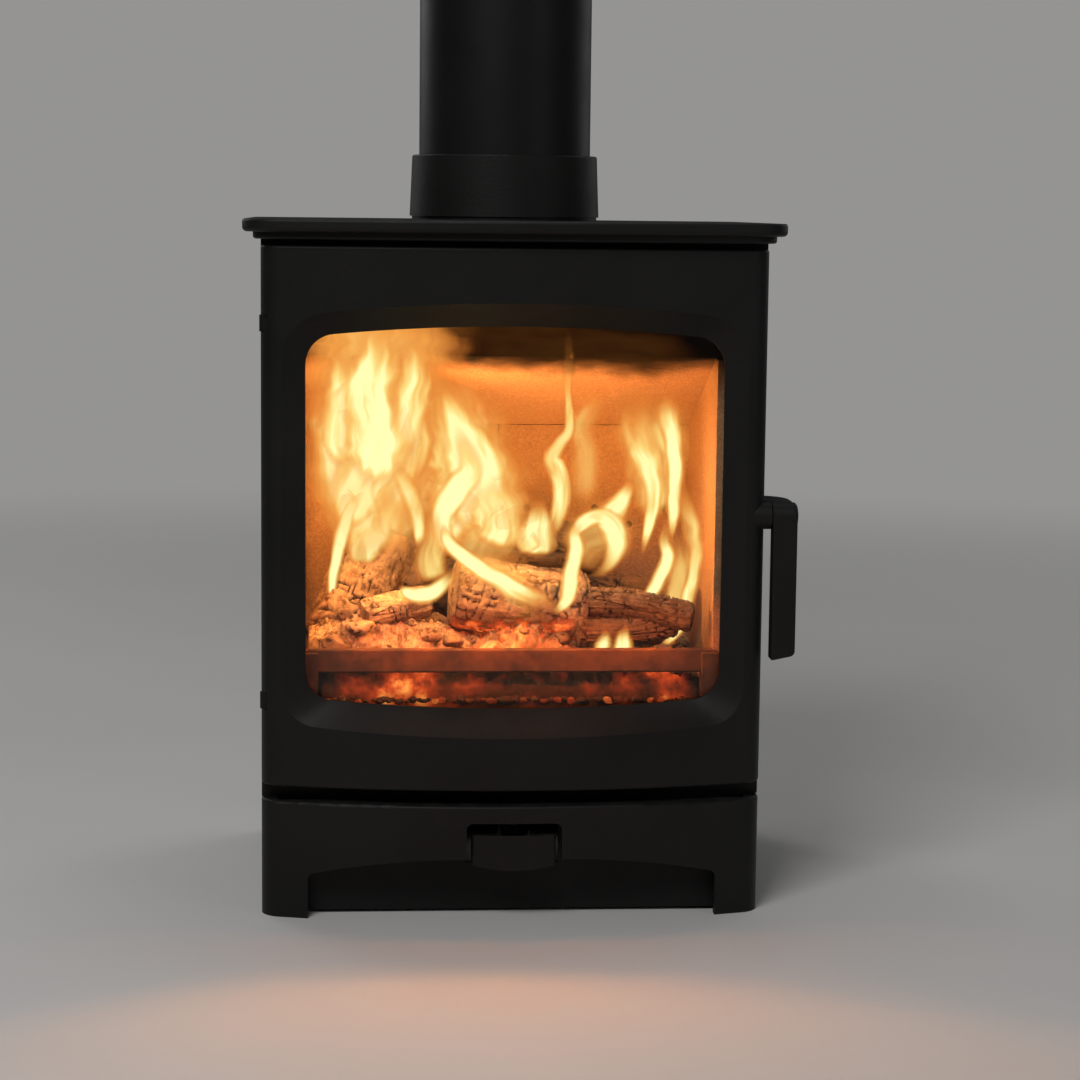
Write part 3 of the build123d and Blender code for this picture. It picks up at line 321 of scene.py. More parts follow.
def log(name, start, end, radius, seed, block=17, split=None, heat_below=None, greyness=0.6, bow=0.0):
    """A burning log: a round or split bar with alligator checks, ragged ends and growth rings. In mm.

    block is the size of a check. split is (direction, depth): the wood beyond depth x radius in that
    direction was split off. Below heat_below the log glows. bow lifts its middle."""
    start, end = Vector(start) * MM, Vector(end) * MM
    radius *= MM
    block *= MM
    axis = (end - start).normalized()
    side = axis.cross(Vector((0, 0, 1))).normalized()
    up = side.cross(axis)
    length = (end - start).length
    around, rings, caps = 120, max(24, int(length / (1.3 * MM))), 12
    offset = Vector((seed * 3.7, seed * 1.3, seed * 2.1))
    places, cracks, heats, greys, wood = [], [], [], [], []

    def put(centre, direction, reach, crack_depth, crack, end_face):
        lump = noise.noise(centre * 25 + direction * 0.9 + offset)
        reach = reach * (1 + 0.13 * lump)
        if split:
            toward, depth = split
            facing = direction.dot(toward.normalized())
            if facing > 0.05:
                rough = 1 + 0.05 * noise.noise(centre * 60 + offset)
                reach = min(reach, depth * radius / facing * rough)
        reach -= crack_depth * crack
        point = centre + direction * reach
        places.append(point)
        wood.extend((direction.dot(side) * reach, direction.dot(up) * reach, centre.dot(axis) * 0.06))
        cracks.append(crack)
        if heat_below is None:
            heats.append(0.0)
        else:
            heats.append(1.0 - smooth(heat_below * MM - 12 * MM, heat_below * MM + 14 * MM, point.z))
        facing_up = 0.55 + 0.45 * (0.0 if end_face else direction.z)
        greys.append(greyness * facing_up)

    def on_axis(share):
        return start.lerp(end, share) + up * (bow * MM * math.sin(math.pi * share))

    def checks(local):
        lengthways = vein(Vector((local.x, local.y, local.z * 0.12)) / (0.50 * block) + offset, 0.075)
        crossways = vein(Vector((local.x * 0.30, local.y * 0.30, local.z)) / (0.60 * block) - offset, 0.075)
        fine = vein(Vector((local.x, local.y, local.z * 0.5)) / (0.20 * block) + offset, 0.12)
        uneven = smooth(-0.30, 0.20, noise.noise(local * 28 + offset))
        return max(max(lengthways, crossways) * (0.3 + 0.7 * uneven), 0.35 * fine)

    def fibres(angle, share):
        x, y, along = math.cos(angle), math.sin(angle), share * length
        fine = noise.noise(Vector((x * 9, y * 9, along * 14)) + offset)
        coarse = noise.noise(Vector((x * 3, y * 3, along * 9)) - offset)
        return 0.9 * MM * fine + 1.6 * MM * coarse

    def ring(share, scale, cap):
        centre = on_axis(share)
        for step in range(around):
            angle = 2 * math.pi * step / around
            direction = side * math.cos(angle) + up * math.sin(angle)
            if cap:
                flat = direction * (radius * scale)
                split_line = cell_edge(flat / (11 * MM) + offset * 3, 0.10)
                wave = noise.noise(flat * 90 + offset)
                year = 0.5 + 0.5 * math.sin(scale * radius / (2.3 * MM) * 2 * math.pi + 4 * wave)
                crack = max(split_line * (0.4 + 0.6 * smooth(-0.2, 0.3, wave)), 0.25 * year)
                dome = CROWN * radius * (1 - scale**2)
                bulge = axis * (cap * (dome - 1.8 * MM * crack + 1.2 * MM * wave))
                put(centre + bulge, direction, radius * scale, 0.0, crack, True)
            else:
                local = Vector((math.cos(angle) * radius, math.sin(angle) * radius, share * length))
                put(centre, direction, radius + fibres(angle, share), 3.2 * MM, checks(local), False)

    for cap in range(1, caps):
        ring(0.0, cap / caps, -1)
    for row in range(rings + 1):
        edge = min(row, rings - row) / 4
        ring(row / rings, 1.0, 0)
        if edge < 1:
            rim = 1 - 0.09 * (1 - edge) ** 2
            for index in range(len(places) - around, len(places)):
                centre = on_axis(row / rings)
                places[index] = centre + (places[index] - centre) * rim
    for cap in range(caps - 1, 0, -1):
        ring(1.0, cap / caps, 1)
    total = len(places) // around
    faces = tube_faces(total, around)
    first, last = len(places), len(places) + 1
    places += [start - axis * CROWN * radius, end + axis * CROWN * radius]
    cracks += [0.2, 0.2]
    heats += [0.0, 0.0]
    greys += [greyness, greyness]
    wood += [0.0] * 6
    base = (total - 1) * around
    faces += [(first, (step + 1) % around, step) for step in range(around)]
    faces += [(last, base + step, base + (step + 1) % around) for step in range(around)]
    mesh = bpy.data.meshes.new(name)
    mesh.from_pydata(places, [], faces)
    mesh.shade_smooth()
    mark_burning(mesh, cracks, heats, greys, wood)
    new_piece(name, mesh, CHARRED)


# The heaps of ash at the left, in the middle and at the right: height in mm, then x, y, and the reach
# along each in metres.
HEAPS = ((64, -0.125, -0.060, 0.105, 0.070), (47, 0.015, -0.070, 0.060, 0.065),
         (30, 0.120, -0.030, 0.070, 0.080))
BED_DEPTH = 14                  # the ash between the heaps, in mm
FRONT_DROP = 8                  # how far the bed falls towards its front edge, in mm
FRONT_LEVEL = GRATE_TOP - FRONT_DROP * MM


def bell(value, middle, reach):
    """A bell curve, 1 at middle."""
    return math.exp(-((value - middle) / reach) ** 2)


def bed_height(x, y):
    """The top of the ash and embers: heaps behind the guard, sloping down under it to the front."""
    heaps = [height * math.exp(-((x - at_x) / reach_x) ** 2 - ((y - at_y) / reach_y) ** 2)
             for height, at_x, at_y, reach_x, reach_y in HEAPS]
    heap = max(heaps) + 0.35 * (sum(heaps) - max(heaps)) + BED_DEPTH
    front = smooth(BED_FRONT, GUARD_LOW.y + 18 * MM, y)
    behind = smooth(GUARD_HIGH.y + 2 * MM, GUARD_HIGH.y + 22 * MM, y)
    ceiling = FRONT_DROP + (GUARD_LOW.z - GRATE_TOP) / MM * 0.80 * front ** 0.8
    height = min(heap, ceiling) * (1 - behind) + heap * behind
    return GRATE_TOP + MM * height - FRONT_DROP * MM * (1 - front)


def ember_bed():
    """A sheet of crumbled ash and embers over the grate, thick enough to be a closed body."""
    half, back = SIDE_WALL - 4 * MM, BACK_WALL - 3 * MM
    columns, rows = 300, 190
    places, cracks, heats, greys = [], [], [], []
    for row in range(rows + 1):
        y = BED_FRONT + (back - BED_FRONT) * row / rows
        for column in range(columns + 1):
            x = -half + 2 * half * column / columns
            spot = Vector((x, y, bed_height(x, y)))
            flake = noise.voronoi(spot / (6 * MM) + Vector((0, 0, 0.6)) * noise.noise(spot * 60))
            tall = noise.cell(flake[1][0] * 7.0)
            crack = max(0.55 * vein(spot * 75, 0.10), vein(spot * 160 + Vector((5, 5, 5)), 0.16) * 0.7)
            rough = (3.0 * tall + 4.5 * noise.noise(spot * 48) + 2.5 * noise.noise(spot * 130)
                     + 1.3 * noise.noise(spot * 320) - 1.2 * crack)
            rough *= 1.0 + 0.7 * smooth(GUARD_LOW.y, GUARD_LOW.y - 6 * MM, y)
            walls = smooth(half, half - 14 * MM, abs(x))
            edge = smooth(0.0, 0.10, row / rows)
            z = bed_height(x, y) + MM * rough * edge * walls
            under_guard = GUARD_LOW.y - 3 * MM < y < GUARD_HIGH.y + 2.5 * MM
            if under_guard:
                z = min(z, GUARD_LOW.z - 1.5 * MM)
            by_bracket = abs(x) > GUARD_HIGH.x - 13 * MM and y < GUARD_HIGH.y + 9 * MM
            if by_bracket:
                z = min(z, FRONT_LEVEL + 1 * MM)
            places.append((x, y, z))
            in_front = smooth(GUARD_HIGH.y + 16 * MM, GUARD_HIGH.y + 6 * MM, y)
            hot = max(bell(x, 0.010, 0.055), 0.30 * bell(x, -0.11, 0.05))
            before = 0.13 + 0.46 * bell(x, -0.09, 0.045) + 0.36 * bell(x, 0.130, 0.035)
            before *= smooth(half, half - 35 * MM, abs(x))
            hot += (before - hot) * in_front
            cracks.append(max(crack, 0.74 * in_front))
            heats.append(min(1.0, hot * (0.75 + 1.1 * noise.noise(spot * 45))))
            ashy = 0.40 + 0.60 * smooth(0.0, -0.06, x)
            greys.append(ashy * (1 - in_front))
    across = columns + 1
    faces = [(r * across + c, r * across + c + 1, (r + 1) * across + c + 1, (r + 1) * across + c)
             for r in range(rows) for c in range(columns)]
    first_below = len(places)
    rim = (list(range(across)) + [r * across + columns for r in range(1, rows + 1)]
           + [rows * across + c for c in range(columns - 1, -1, -1)]
           + [r * across for r in range(rows - 1, 0, -1)])
    for index in rim:
        x, y, z = places[index]
        places.append((x, y, min(PLATE_TOP + 0.4 * MM, z - 0.2 * MM)))
        cracks.append(1.0)
        heats.append(0.0)
        greys.append(0.3)
    count = len(rim)
    faces += [(rim[i], first_below + i, first_below + (i + 1) % count, rim[(i + 1) % count])
              for i in range(count)]
    faces.append(tuple(first_below + i for i in range(count)))
    mesh = bpy.data.meshes.new("ember_bed")
    mesh.from_pydata(places, [], faces)
    mesh.validate()
    shape = bmesh.new()
    shape.from_mesh(mesh)
    bmesh.ops.recalc_face_normals(shape, faces=shape.faces)
    shape.to_mesh(mesh)
    shape.free()
    mesh.shade_smooth()
    mark_burning(mesh, cracks, heats, greys)
    new_piece("ember_bed", mesh, CHARRED)


def scatter(rng, spots, tries, half, y_range, size_range, spacing):
    """Adds round spots (x, y, size) that overlap each other by no more than spacing allows."""
    for _ in range(tries):
        x, y = rng.uniform(-half, half), rng.uniform(*y_range)
        size = rng.uniform(*size_range) * MM
        if all((x - a) ** 2 + (y - b) ** 2 > (spacing * (size + c)) ** 2 for a, b, c in spots):
            spots.append((x, y, size))


def coals():
    """Loose lumps of charcoal lying half sunk in the bed, with smaller ones in front of the guard."""
    rng = random.Random(11)
    shape = bmesh.new()
    cracks, heats, greys = [], [], []
    spots = []
    scatter(rng, spots, 400, 0.165, (-0.100, 0.05), (5.0, 15.0), 0.75)
    spots = spots[:120]
    scatter(rng, spots, 700, 0.160, (BED_FRONT + 6 * MM, GUARD_LOW.y - 3 * MM), (2.4, 5.6), 0.62)
    for x, y, size in spots:
        made = bmesh.ops.create_icosphere(shape, subdivisions=3, radius=1.0)["verts"]
        stretch = Vector((rng.uniform(0.8, 1.5), rng.uniform(0.7, 1.2), rng.uniform(0.55, 0.85))) * size
        spin, tilt = rng.uniform(0, 6.28), rng.uniform(-0.5, 0.5)
        turn = Matrix.Rotation(spin, 3, "Z") @ Matrix.Rotation(tilt, 3, "X")
        cuts = [Vector((rng.uniform(-1, 1), rng.uniform(-1, 1), rng.uniform(-1, 1))).normalized()
                for _ in range(9)]
        offset = Vector((rng.uniform(0, 50),) * 3)
        grey, hot = rng.uniform(0.2, 1.0), rng.random() ** 3 * bell(x, 0.02, 0.07)
        in_front = y < GUARD_LOW.y
        if in_front:
            grey *= 0.22
            hot = rng.random() ** 2 * (0.40 + 0.9 * bell(x, -0.10, 0.05) + 0.8 * bell(x, 0.13, 0.04))
        home = Vector((x, y, bed_height(x, y) + 0.22 * size))
        for vertex in made:
            unit = vertex.co.copy()
            for cut in cuts:
                over = unit.dot(cut) - 0.72
                if over > 0:
                    unit -= cut * over * 0.92
            crack = vein(unit * 1.3 + offset, 0.10)
            unit *= 1 + 0.10 * noise.noise(unit * 3 + offset) - 0.10 * crack
            vertex.co = home + turn @ Vector(a * b for a, b in zip(unit, stretch))
            cracks.append(max(crack, 0.55) if in_front else crack)
            heats.append(hot)
            greys.append(grey)
    mesh = bpy.data.meshes.new("coals")
    shape.to_mesh(mesh)
    shape.free()
    mesh.shade_smooth()
    mark_burning(mesh, cracks, heats, greys)
    new_piece("coals", mesh, CHARRED)


ember_bed()
coals()
log("log_front", (-46, -57, 272), (68, -50, 254), 35, 1, heat_below=243, greyness=1.0,
    split=(Vector((0.1, -0.25, 1.0)), 0.74))
log("log_top", (-4, -6, 306), (90, 4, 297), 29, 2, block=14, greyness=0.16,
    split=(Vector((0.0, -0.8, 0.5)), 0.80))
log("log_left", (-152, -58, 222), (-112, -10, 312), 33, 3, block=13, greyness=0.75,
    split=(Vector((-0.2, -1.0, 0.1)), 0.72))
log("log_left_low", (-128, -80, 250), (-72, -62, 262), 15, 8, block=12, greyness=1.0,
    split=(Vector((0.1, -0.5, 1.0)), 0.75))
log("log_left_back", (-96, -12, 262), (-62, 40, 330), 25, 4, greyness=0.2)
log("log_back", (-60, 50, 262), (70, 40, 275), 34, 5, greyness=0.35)
log("branch_right", (70, -66, 262), (164, -84, 250), 13, 6, block=12, greyness=0.45, bow=4)
log("branch_right_low", (62, -84, 236), (150, -70, 240), 13, 9, block=12, greyness=0.2, bow=-3)
log("branch_right_back", (72, 0, 272), (160, -20, 256), 17, 7, block=12, greyness=0.12, bow=-4)


# ---- flames -----------------------------------------------------------------------------------------
def flame_gas(name, opacity, heat, ragged=0.5, threaded=0.45, glow=1.0):
    """Glowing gas: soft orange edges that grow denser and paler inwards, drawn into streaks along it."""
    g = Graph(name)
    flow = g("SeparateXYZ", {0: g("UVMap", uv_map="flow")})
    side = g.math("SUBTRACT", g.math("MULTIPLY", flow.outputs["X"], 2.0), 1.0)
    centre = g.math("SUBTRACT", 1.0, g.math("ABSOLUTE", side))
    grain = g("UVMap", uv_map="grain")
    billow = g.noise(0.8, detail=3.0, roughness=0.5, distortion=0.6, place=grain)
    streak = g.noise(0.9, detail=2.0, roughness=0.4, distortion=0.5, place=grain)
    reach = g.math("ADD", centre, g.math("MULTIPLY", g.math("SUBTRACT", billow, 0.5), ragged))
    soft = g.ramp(reach, (0.06, 0.0), (0.80, 1.0))
    soft.color_ramp.interpolation = "EASE"
    ends = g.ramp(flow.outputs["Y"], (0.0, 0.0), (0.16, 1.0), (0.55, 1.0), (1.0, 0.0))
    ends.color_ramp.interpolation = "EASE"
    threads = g.ramp(streak, (0.30, 1.0 - threaded), (0.65, 1.0))
    rim = g.math("MULTIPLY", centre, 5.0, clamp=True)
    dense = g.math("MULTIPLY", g.math("MULTIPLY", g.math("MULTIPLY", soft, ends), threads), rim)
    alpha = g.math("MULTIPLY", dense, 1.35 * opacity, clamp=True)
    warm = g.math("MULTIPLY", dense, heat)
    colour = g.ramp(warm, (0.0, (0.90, 0.25, 0.035)), (0.35, (1.0, 0.42, 0.085)),
                    (0.68, (1.0, 0.70, 0.21)), (1.0, (1.0, 0.94, 0.44)))
    power = g.math("MULTIPLY", g.math("ADD", g.math("MULTIPLY", warm, 0.34), 0.84), glow)
    light = g("Emission", {"Color": colour, "Strength": power})
    return g.done(g("MixShader", {0: alpha, 1: g("BsdfTransparent"), 2: light}))


# Kinds of flame, from the hottest to the dimmest; smoke is the dull red haze in the throat.
GAS = {
    "hot": flame_gas("flame_hot", 1.0, 1.50, ragged=0.35),
    "body": flame_gas("flame_body", 0.85, 1.12),
    "thin": flame_gas("flame_thin", 0.55, 0.72),
    "haze": flame_gas("flame_haze", 0.32, 0.55, ragged=0.3, threaded=0.3),
    "roof": flame_gas("flame_roof", 0.85, 0.45, ragged=0.25, threaded=0.15),
    "smoke": flame_gas("flame_smoke", 0.60, 0.20, ragged=0.45, threaded=0.5, glow=0.055),
}
SPREAD = 1.35                   # a leaf is this much wider than its spine says, for its soft edge
BAFFLE_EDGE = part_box("baffle_plate")[0].y / MM
BAFFLE_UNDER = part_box("side_brick_left")[1].z / MM


def below_baffle(y, z, half):
    """Keeps a flame in the room below the sloping baffle, and in front of its edge higher up."""
    slope, gap = 2.3, 9 + min(0.25 * half, 10)
    return min(y, BAFFLE_EDGE - gap + slope * max(0.0, BAFFLE_UNDER - z))


def through(points, count):
    """count places along a smooth curve through points, as an array."""
    known = np.array(points, float)
    padded = np.vstack([2 * known[0] - known[1], known, 2 * known[-1] - known[-2]])
    out = []
    for share in np.linspace(0, len(known) - 1, count):
        index = min(int(share), len(known) - 2)
        t = share - index
        a, b, c, d = padded[index:index + 4]
        out.append(0.5 * (2 * b + (c - a) * t + (2 * a - 5 * b + 4 * c - d) * t**2
                          + (3 * b - a - 3 * c + d) * t**3))
    return np.array(out)


def flame(name, gas, *spine):
    """A tongue of flame: a thin closed leaf along spine, whose points are (x, y, z, half width) in mm."""
    length_steps, around = 16 * len(spine), 28
    line = through(spine, length_steps)
    seed = sum(map(ord, name)) % 97
    run = np.concatenate([[0], np.cumsum(np.linalg.norm(np.diff(line[:, :3], axis=0), axis=1))])
    places, flow, grain = [], [], []
    for row in line:
        row[1] = below_baffle(row[1], row[2], row[3])
    for step, (x, y, z, half) in enumerate(line):
        share = step / (length_steps - 1)
        ahead = line[min(step + 1, length_steps - 1), :3] - line[max(step - 1, 0), :3]
        tangent = Vector(ahead).normalized()
        wide = tangent.cross(Vector((0, 1, 0)))
        wide = wide.normalized() if wide.length > 0.2 else Vector((1, 0, 0))
        deep = wide.cross(tangent).normalized()
        flutter = 0.16 * noise.noise(Vector((seed, run[step] / 22, 0.5)))
        taper = math.sqrt(max(0.0, 1 - (2 * share - 1) ** 8))
        half = SPREAD * max(half, 0.4) * (1 + flutter) * max(taper, 0.02)
        sway = wide * (0.10 * half * noise.noise(Vector((seed, run[step] / 14, 4.5))))
        for turn in range(around):
            angle = 2 * math.pi * turn / around
            across = math.cos(angle)
            curl, ripple, thick = min(0.22 * half, 7), min(0.16 * half, 4), min(0.20 * half, 5)
            fold = curl * (1 - across**2) + ripple * math.sin(3 * across + share * 7)
            offset = wide * (half * across) + deep * (thick * math.sin(angle) + fold) + sway
            places.append((Vector((x, y, z)) + offset) * MM)
            flow.append((0.5 + 0.5 * across, share))
            grain.append((half * across / 9 + seed * 1.7, run[step] / 42 + seed * 0.9))
    faces = tube_faces(length_steps, around)
    faces.append(tuple(range(around - 1, -1, -1)))
    faces.append(tuple((length_steps - 1) * around + c for c in range(around)))
    mesh = bpy.data.meshes.new(name)
    mesh.from_pydata(places, [], faces)
    mesh.shade_smooth()
    for layer_name, values in (("flow", flow), ("grain", grain)):
        layer = mesh.uv_layers.new(name=layer_name)
        for loop in mesh.loops:
            layer.data[loop.index].uv = values[loop.vertex_index]
    new_piece(name, mesh, GAS[gas]).visible_shadow = False


# Spines in mm, chosen from the photo: the hazes, the high flames and the pale hearts first, then
# the left column, the middle, and the right.
flame("flame_left_cloud", "thin", (-108, -8, 284, 30), (-112, -8, 340, 60), (-108, -6, 400, 66),
      (-104, -4, 460, 62), (-100, -2, 520, 48))
flame("flame_left_cloud_front", "haze", (-118, -64, 290, 26), (-122, -64, 340, 46), (-120, -62, 400, 50),
      (-118, -60, 460, 44), (-116, -58, 520, 32))
flame("flame_middle_cloud", "thin", (-26, -22, 296, 26), (-28, -20, 340, 46), (-38, -18, 390, 46),
      (-50, -16, 440, 34), (-58, -14, 486, 20))
flame("flame_left_roof", "roof", (-124, -84, 436, 40), (-122, -88, 462, 60), (-118, -96, 488, 66),
      (-112, -98, 516, 66), (-108, -96, 545, 62))
flame("flame_left_high", "hot", (-124, -86, 362, 12), (-118, -104, 404, 29), (-124, -112, 446, 26),
      (-118, -116, 486, 20), (-112, -118, 528, 11))
flame("flame_left_high_edge", "body", (-148, -84, 380, 8), (-152, -104, 420, 16), (-146, -112, 462, 15),
      (-150, -116, 500, 8))
flame("flame_left_high_right", "body", (-88, -84, 392, 8), (-92, -104, 430, 16), (-86, -112, 470, 14),
      (-90, -116, 512, 6))
flame("flame_left_heart", "hot", (-142, -54, 322, 8), (-136, -56, 352, 24), (-120, -58, 378, 30),
      (-106, -58, 402, 22), (-100, -58, 430, 8))
flame("flame_left_near", "body", (-92, -52, 360, 8), (-84, -56, 400, 15), (-86, -60, 440, 12),
      (-92, -64, 476, 5))
flame("flame_mid_pale", "body", (-14, -62, 308, 14), (-8, -60, 330, 24), (-14, -58, 354, 26),
      (-22, -56, 376, 16))
flame("flame_throat_smoke", "smoke", (-50, -100, 488, 10), (20, -100, 489, 19), (90, -100, 488, 22),
      (140, -98, 484, 20), (172, -96, 478, 12))
flame("flame_throat_wisp", "smoke", (-70, -112, 512, 12), (-20, -113, 516, 22), (40, -113, 514, 16),
      (80, -112, 510, 8))
flame("flame_left_mass", "body", (-104, -16, 296, 14), (-116, -18, 334, 34), (-124, -22, 382, 52),
      (-125, -22, 430, 50), (-126, -18, 470, 42), (-124, -12, 512, 32))
flame("flame_left_glow", "hot", (-112, -30, 308, 8), (-130, -32, 345, 26), (-138, -32, 385, 34),
      (-136, -30, 430, 30), (-134, -26, 476, 20), (-130, -22, 506, 10))
flame("flame_left_outer", "hot", (-106, -42, 306, 5), (-130, -44, 332, 14), (-150, -44, 366, 18),
      (-155, -42, 398, 17), (-152, -38, 440, 13), (-148, -34, 484, 7))
flame("flame_left_inner", "hot", (-112, -52, 318, 6), (-131, -52, 366, 12), (-122, -50, 405, 12),
      (-117, -46, 440, 10), (-119, -42, 478, 8.5), (-122, -38, 506, 4.5))
flame("flame_left_right", "body", (-104, -36, 326, 10), (-94, -34, 392, 20), (-94, -30, 440, 18),
      (-99, -24, 488, 9))
flame("flame_left_back", "thin", (-110, 25, 300, 30), (-116, 30, 370, 58), (-112, 34, 430, 60),
      (-116, 30, 486, 46))
flame("flame_left_low", "body", (-128, -50, 288, 6), (-128, -50, 306, 18), (-120, -48, 326, 26),
      (-112, -44, 350, 16), (-108, -42, 372, 5))
flame("flame_left_lick", "hot", (-158, -58, 254, 3), (-155, -58, 281, 5), (-149, -56, 315, 6.5),
      (-139, -52, 345, 7), (-127, -48, 374, 4.5))
flame("flame_left_tip", "body", (-79, -58, 306, 4), (-80, -58, 330, 8), (-86, -57, 352, 9),
      (-97, -56, 374, 7), (-106, -54, 394, 3))
flame("flame_mid", "body", (-36, -46, 292, 8), (-52, -44, 316, 18), (-50, -42, 336, 25),
      (-38, -40, 354, 33), (-34, -38, 378, 37), (-40, -36, 404, 30), (-49, -34, 428, 19),
      (-57, -32, 450, 13), (-65, -30, 474, 5))
flame("flame_mid_core", "hot", (-30, -58, 318, 10), (-32, -56, 342, 20), (-28, -54, 368, 25),
      (-34, -50, 394, 24), (-45, -48, 418, 14), (-54, -46, 444, 8), (-62, -44, 466, 3))
flame("flame_mid_edge", "hot", (-38, -76, 298, 3.5), (-57, -74, 318, 8), (-60, -70, 340, 10),
      (-48, -66, 358, 12), (-34, -62, 380, 12), (-42, -58, 404, 8), (-50, -54, 426, 3))
flame("flame_mid_right", "thin", (-24, -34, 322, 16), (-12, -32, 350, 24), (-14, -30, 384, 22),
      (-26, -28, 414, 12))
flame("flame_sweep", "hot", (-60, -92, 338, 3), (-54, -96, 318, 6.5), (-34, -98, 301, 8.5),
      (-10, -99, 285, 9.5), (8, -99, 275, 9.5), (28, -98, 267, 8), (48, -97, 256, 5))
flame("flame_sweep_up", "hot", (38, -98, 254, 3), (50, -97, 268, 7), (54, -95, 288, 8),
      (59, -92, 310, 8), (58, -86, 327, 6.5), (70, -78, 335, 3))
flame("flame_sweep_glow", "haze", (-50, -88, 300, 14), (-18, -90, 286, 24), (12, -90, 268, 24),
      (44, -88, 252, 12))
flame("flame_blob", "hot", (-99, -92, 280, 2), (-88, -94, 273, 6.5), (-77, -94, 271, 8.5),
      (-65, -92, 275, 8), (-54, -90, 286, 6), (-44, -88, 300, 2))
flame("flame_tongue", "thin", (-66, -84, 280, 12), (-69, -82, 300, 15), (-66, -80, 324, 12),
      (-67, -78, 354, 4))
flame("flame_haze", "haze", (-44, -60, 296, 20), (-18, -58, 318, 40), (2, -55, 338, 38),
      (12, -50, 366, 18))
flame("flame_top", "hot", (26, -56, 300, 12), (27, -54, 317, 19), (28, -52, 334, 12), (30, -50, 358, 2.5))
flame("flame_top_left", "body", (22, -58, 304, 10), (15, -56, 320, 9), (11, -54, 334, 3))
flame("flame_tall", "body", (31, -50, 308, 6.5), (44, -44, 330, 8), (50, -38, 352, 8.5),
      (47, -34, 372, 9.5), (41, -30, 387, 9.5), (48, -28, 400, 7), (57, -26, 412, 5),
      (57, -24, 430, 4.5), (54, -20, 458, 4.5), (50, -16, 486, 4.5), (48, -12, 512, 3.5))
flame("flame_wisp", "haze", (72, 8, 330, 12), (77, 10, 376, 17), (72, 12, 412, 14), (84, 14, 434, 10),
      (84, 16, 458, 7))
flame("flame_curl", "hot", (56, -72, 310, 3), (64, -70, 330, 6.5), (80, -68, 338, 8.5),
      (92, -66, 330, 11.5), (98, -64, 314, 11.5), (94, -62, 299, 8.5), (84, -62, 288, 5),
      (70, -62, 283, 2))
flame("flame_curl_tip", "body", (86, -60, 324, 13), (96, -58, 342, 13), (105, -55, 356, 8),
      (114, -52, 374, 3))
flame("flame_curl_glow", "haze", (52, -50, 300, 16), (74, -50, 316, 30), (96, -50, 330, 30),
      (116, -48, 350, 14))
flame("flame_right_inner", "body", (123, -36, 296, 3), (130, -34, 325, 6), (134, -32, 350, 8.5),
      (131, -30, 376, 11), (123, -30, 400, 14.5), (115, -28, 424, 14.5), (112, -26, 450, 8))
flame("flame_right_tall", "hot", (149, -40, 306, 3), (152, -38, 345, 6), (153, -36, 376, 8),
      (150, -34, 408, 10), (146, -32, 430, 11.5), (150, -30, 452, 3.5))
flame("flame_right_sheet", "thin", (136, -10, 326, 16), (138, -8, 370, 28), (134, -6, 412, 36),
      (130, -4, 452, 28))
flame("flame_right_outer", "body", (133, -78, 217, 2), (148, -77, 233, 5), (158, -76, 250, 6),
      (164, -74, 275, 6.5), (168, -72, 300, 8), (165, -70, 328, 9.5), (158, -66, 355, 8.5),
      (151, -62, 388, 4.5))
flame("flame_right_low", "hot", (120, -80, 264, 3), (129, -80, 274, 7), (137, -79, 289, 8),
      (142, -78, 304, 7), (139, -77, 320, 5), (145, -75, 352, 1.5))
flame("flame_right_faint", "thin", (150, -58, 246, 10), (156, -56, 285, 15), (153, -54, 328, 9))
flame("flame_small_a", "body", (82, -96, 212, 6), (84, -96, 226, 8), (86, -95, 243, 2))
flame("flame_small_b", "body", (99, -96, 212, 7), (101, -96, 227, 9), (104, -95, 246, 2))


# ---- floor, light and camera ----------------------------------------------------------------------
ORANGE, DEEP_ORANGE, RED_ORANGE = (1.0, 0.40, 0.105), (1.0, 0.30, 0.055), (1.0, 0.20, 0.028)


def pale_floor():
    """A pale floor that fades into the background well away from the stove."""
    fade_from, gone_by, reach = 0.9, 3.6, 4.5
    shape = bmesh.new()
    bmesh.ops.create_circle(shape, cap_ends=True, segments=96, radius=reach)
    mesh = bpy.data.meshes.new("floor")
    shape.to_mesh(mesh)
    shape.free()
    floor = bpy.data.objects.new("floor", mesh)
    bpy.context.scene.collection.objects.link(floor)
    g = Graph("pale_floor")
    distance = g("VectorMath", {0: g.place}, operation="LENGTH").outputs["Value"]
    fade = g("MapRange", {0: distance, 1: fade_from, 2: gone_by, 3: 0.0, 4: 1.0},
             interpolation_type="SMOOTHSTEP")
    tone = g.mix(g.noise(2.2, detail=5.0), (0.60, 0.59, 0.575), (0.66, 0.65, 0.635))
    plain = g.surface(Base_Color=tone, Roughness=0.75, Specular_IOR_Level=0.25,
                      Normal=g.bump(g.noise(160.0, detail=5.0), 0.0002))
    mesh.materials.append(g.done(g("MixShader", {0: fade, 1: plain, 2: g("BsdfTransparent")})))


def soft_light(name, place, size, power, colour=(1.0, 1.0, 1.0), aim=(0.0, 0.0, 0.35)):
    """A soft rectangular lamp of a size (across, up) in metres and a power in watts, turned to aim."""
    lamp = bpy.data.lights.new(name, "AREA")
    lamp.shape, lamp.size, lamp.size_y = "RECTANGLE", *size
    lamp.energy, lamp.color = power, colour
    light = bpy.data.objects.new(name, lamp)
    light.location = place
    light.rotation_mode = "QUATERNION"
    light.rotation_quaternion = (Vector(aim) - Vector(place)).to_track_quat("-Z", "Y")
    bpy.context.scene.collection.objects.link(light)


